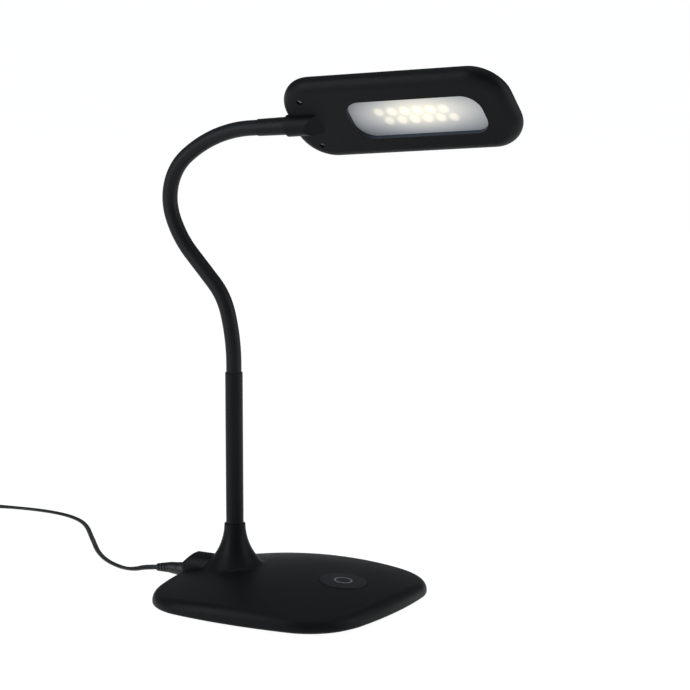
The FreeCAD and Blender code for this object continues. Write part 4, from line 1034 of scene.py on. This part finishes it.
def white_to_camera(graph, lit, share):
    """Mixes a share of plain white into a lit shader for the rays that show the background."""
    rays = graph.add("ShaderNodeLightPath").outputs
    seen = graph.maths("MAXIMUM", rays["Is Camera Ray"], rays["Is Glossy Ray"])
    seen = graph.maths("MAXIMUM", seen, rays["Is Transmission Ray"])
    sockets = {"Color": opaque((1.0, 1.0, 1.0)), "Strength": BACKGROUND_STRENGTH}
    white = graph.add("ShaderNodeEmission", sockets)
    mix = graph.add("ShaderNodeMixShader", {"Fac": graph.maths("MULTIPLY", seen, share)})
    graph.tree.links.new(lit, mix.inputs[1])
    graph.tree.links.new(white.outputs[0], mix.inputs[2])
    return mix.outputs[0]


def soft_lamp(name, place, size, watts):
    """Large rectangular lamp turned towards the lamp's middle."""
    light = bpy.data.lights.new(name, "AREA")
    light.shape = "RECTANGLE"
    light.size, light.size_y = size
    light.energy = watts
    light.color = LIGHT_TINT
    lamp = bpy.data.objects.new(name, light)
    lamp.location = place
    way = Vector(STUDIO_AIM) - Vector(place)
    lamp.rotation_euler = way.to_track_quat("-Z", "Y").to_euler()
    bpy.context.scene.collection.objects.link(lamp)


class LAMP_OT_studio(Operator):
    """Sets the floor, the lights, the world and the camera"""

    bl_idname = "desk_lamp.studio"
    bl_label = "Studio"

    def execute(self, context):
        studio = context.scene.studio_settings
        self.floor()
        self.world(studio)
        self.camera(studio)
        for name, place, size, setting in STUDIO_LAMPS:
            soft_lamp(name, place, size, getattr(studio, setting))
        context.scene.view_settings.view_transform = "Standard"
        return {"FINISHED"}

    def floor(self):
        """Pale floor that reaches past the view."""
        mesh = bpy.data.meshes.new("floor")
        signs = ((-1, -1), (1, -1), (1, 1), (-1, 1))
        corners = [(x * FLOOR_REACH, y * FLOOR_REACH, FLOOR_LEVEL) for x, y in signs]
        mesh.from_pydata(corners, [], [[0, 1, 2, 3]])
        floor = new_object("floor", mesh)
        graph = FinishGraph("Pale floor")
        grey = opaque((FLOOR_GREY, FLOOR_GREY, FLOOR_GREY))
        lit = graph.add("ShaderNodeBsdfDiffuse", {"Color": grey}).outputs[0]
        shader = white_to_camera(graph, lit, BACKGROUND_SHARE)
        graph.tree.links.new(shader, graph.output.inputs["Surface"])
        floor.data.materials.append(graph.material)

    def world(self, studio):
        """Even studio light, and white where the background itself is seen."""
        world = bpy.data.worlds.new("Studio world")
        world.use_nodes = True
        tree = world.node_tree
        tree.nodes.clear()
        output = tree.nodes.new("ShaderNodeOutputWorld")
        rays = tree.nodes.new("ShaderNodeLightPath")
        seen = tree.nodes.new("ShaderNodeMath")
        seen.operation = "MAXIMUM"
        tree.links.new(rays.outputs["Is Camera Ray"], seen.inputs[0])
        tree.links.new(rays.outputs["Is Transmission Ray"], seen.inputs[1])
        soft = tree.nodes.new("ShaderNodeBackground")
        soft.inputs["Color"].default_value = opaque(LIGHT_TINT)
        soft.inputs["Strength"].default_value = studio.world_light
        white = tree.nodes.new("ShaderNodeBackground")
        mix = tree.nodes.new("ShaderNodeMixShader")
        white.inputs["Color"].default_value = opaque((1.0, 1.0, 1.0))
        tree.links.new(seen.outputs[0], mix.inputs[0])
        tree.links.new(soft.outputs[0], mix.inputs[1])
        tree.links.new(white.outputs[0], mix.inputs[2])
        tree.links.new(mix.outputs[0], output.inputs["Surface"])
        bpy.context.scene.world = world

    def camera(self, studio):
        """Camera at the photograph's angle."""
        turn, lift = studio.azimuth, studio.elevation
        right = Vector((math.cos(turn), math.sin(turn), 0))
        forward = Vector((-math.sin(turn), math.cos(turn), 0))
        up = forward * math.sin(lift) + UP * math.cos(lift)
        back = right.cross(up)
        place = right * studio.aim_right + up * studio.aim_up + back * studio.distance
        data = bpy.data.cameras.new("Camera")
        data.lens = studio.lens
        data.sensor_width = SENSOR_WIDTH
        data.clip_end = VIEW_REACH
        camera = bpy.data.objects.new("Camera", data)
        turned = Matrix((right, up, back)).transposed().to_4x4()
        camera.matrix_world = Matrix.Translation(place) @ turned
        bpy.context.scene.collection.objects.link(camera)
        bpy.context.scene.camera = camera


class LAMP_PT_panel(Panel):
    """Lists the lamp's sizes, colours and steps"""

    bl_idname = "LAMP_PT_panel"
    bl_label = "Desk Lamp"
    bl_space_type = "VIEW_3D"
    bl_region_type = "UI"
    bl_category = "Desk Lamp"

    def draw(self, context):
        layout = self.layout
        scene = context.scene
        for group in (scene.lamp_sizes, scene.lamp_colours, scene.studio_settings):
            box = layout.box()
            for name in group.__annotations__:
                box.prop(group, name)
        for step in STEPS:
            layout.operator(step.bl_idname)


STEPS = (LAMP_OT_finishes, LAMP_OT_neck, LAMP_OT_lead, LAMP_OT_studio)
CLASSES = (LampSizes, LampColours, StudioSettings) + STEPS + (LAMP_PT_panel,)


def register():
    """Adds the classes and the settings."""
    for kind in CLASSES:
        bpy.utils.register_class(kind)
    bpy.types.Scene.lamp_sizes = PointerProperty(type=LampSizes)
    bpy.types.Scene.lamp_colours = PointerProperty(type=LampColours)
    bpy.types.Scene.studio_settings = PointerProperty(type=StudioSettings)


def unregister():
    """Takes them away again."""
    del bpy.types.Scene.studio_settings
    del bpy.types.Scene.lamp_colours
    del bpy.types.Scene.lamp_sizes
    for kind in reversed(CLASSES):
        bpy.utils.unregister_class(kind)


def main():
    """Runs every step in order."""
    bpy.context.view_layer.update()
    register()
    bpy.ops.desk_lamp.finishes()
    bpy.ops.desk_lamp.neck()
    bpy.ops.desk_lamp.lead()
    bpy.ops.desk_lamp.studio()


if __name__ == "__main__":
    main()
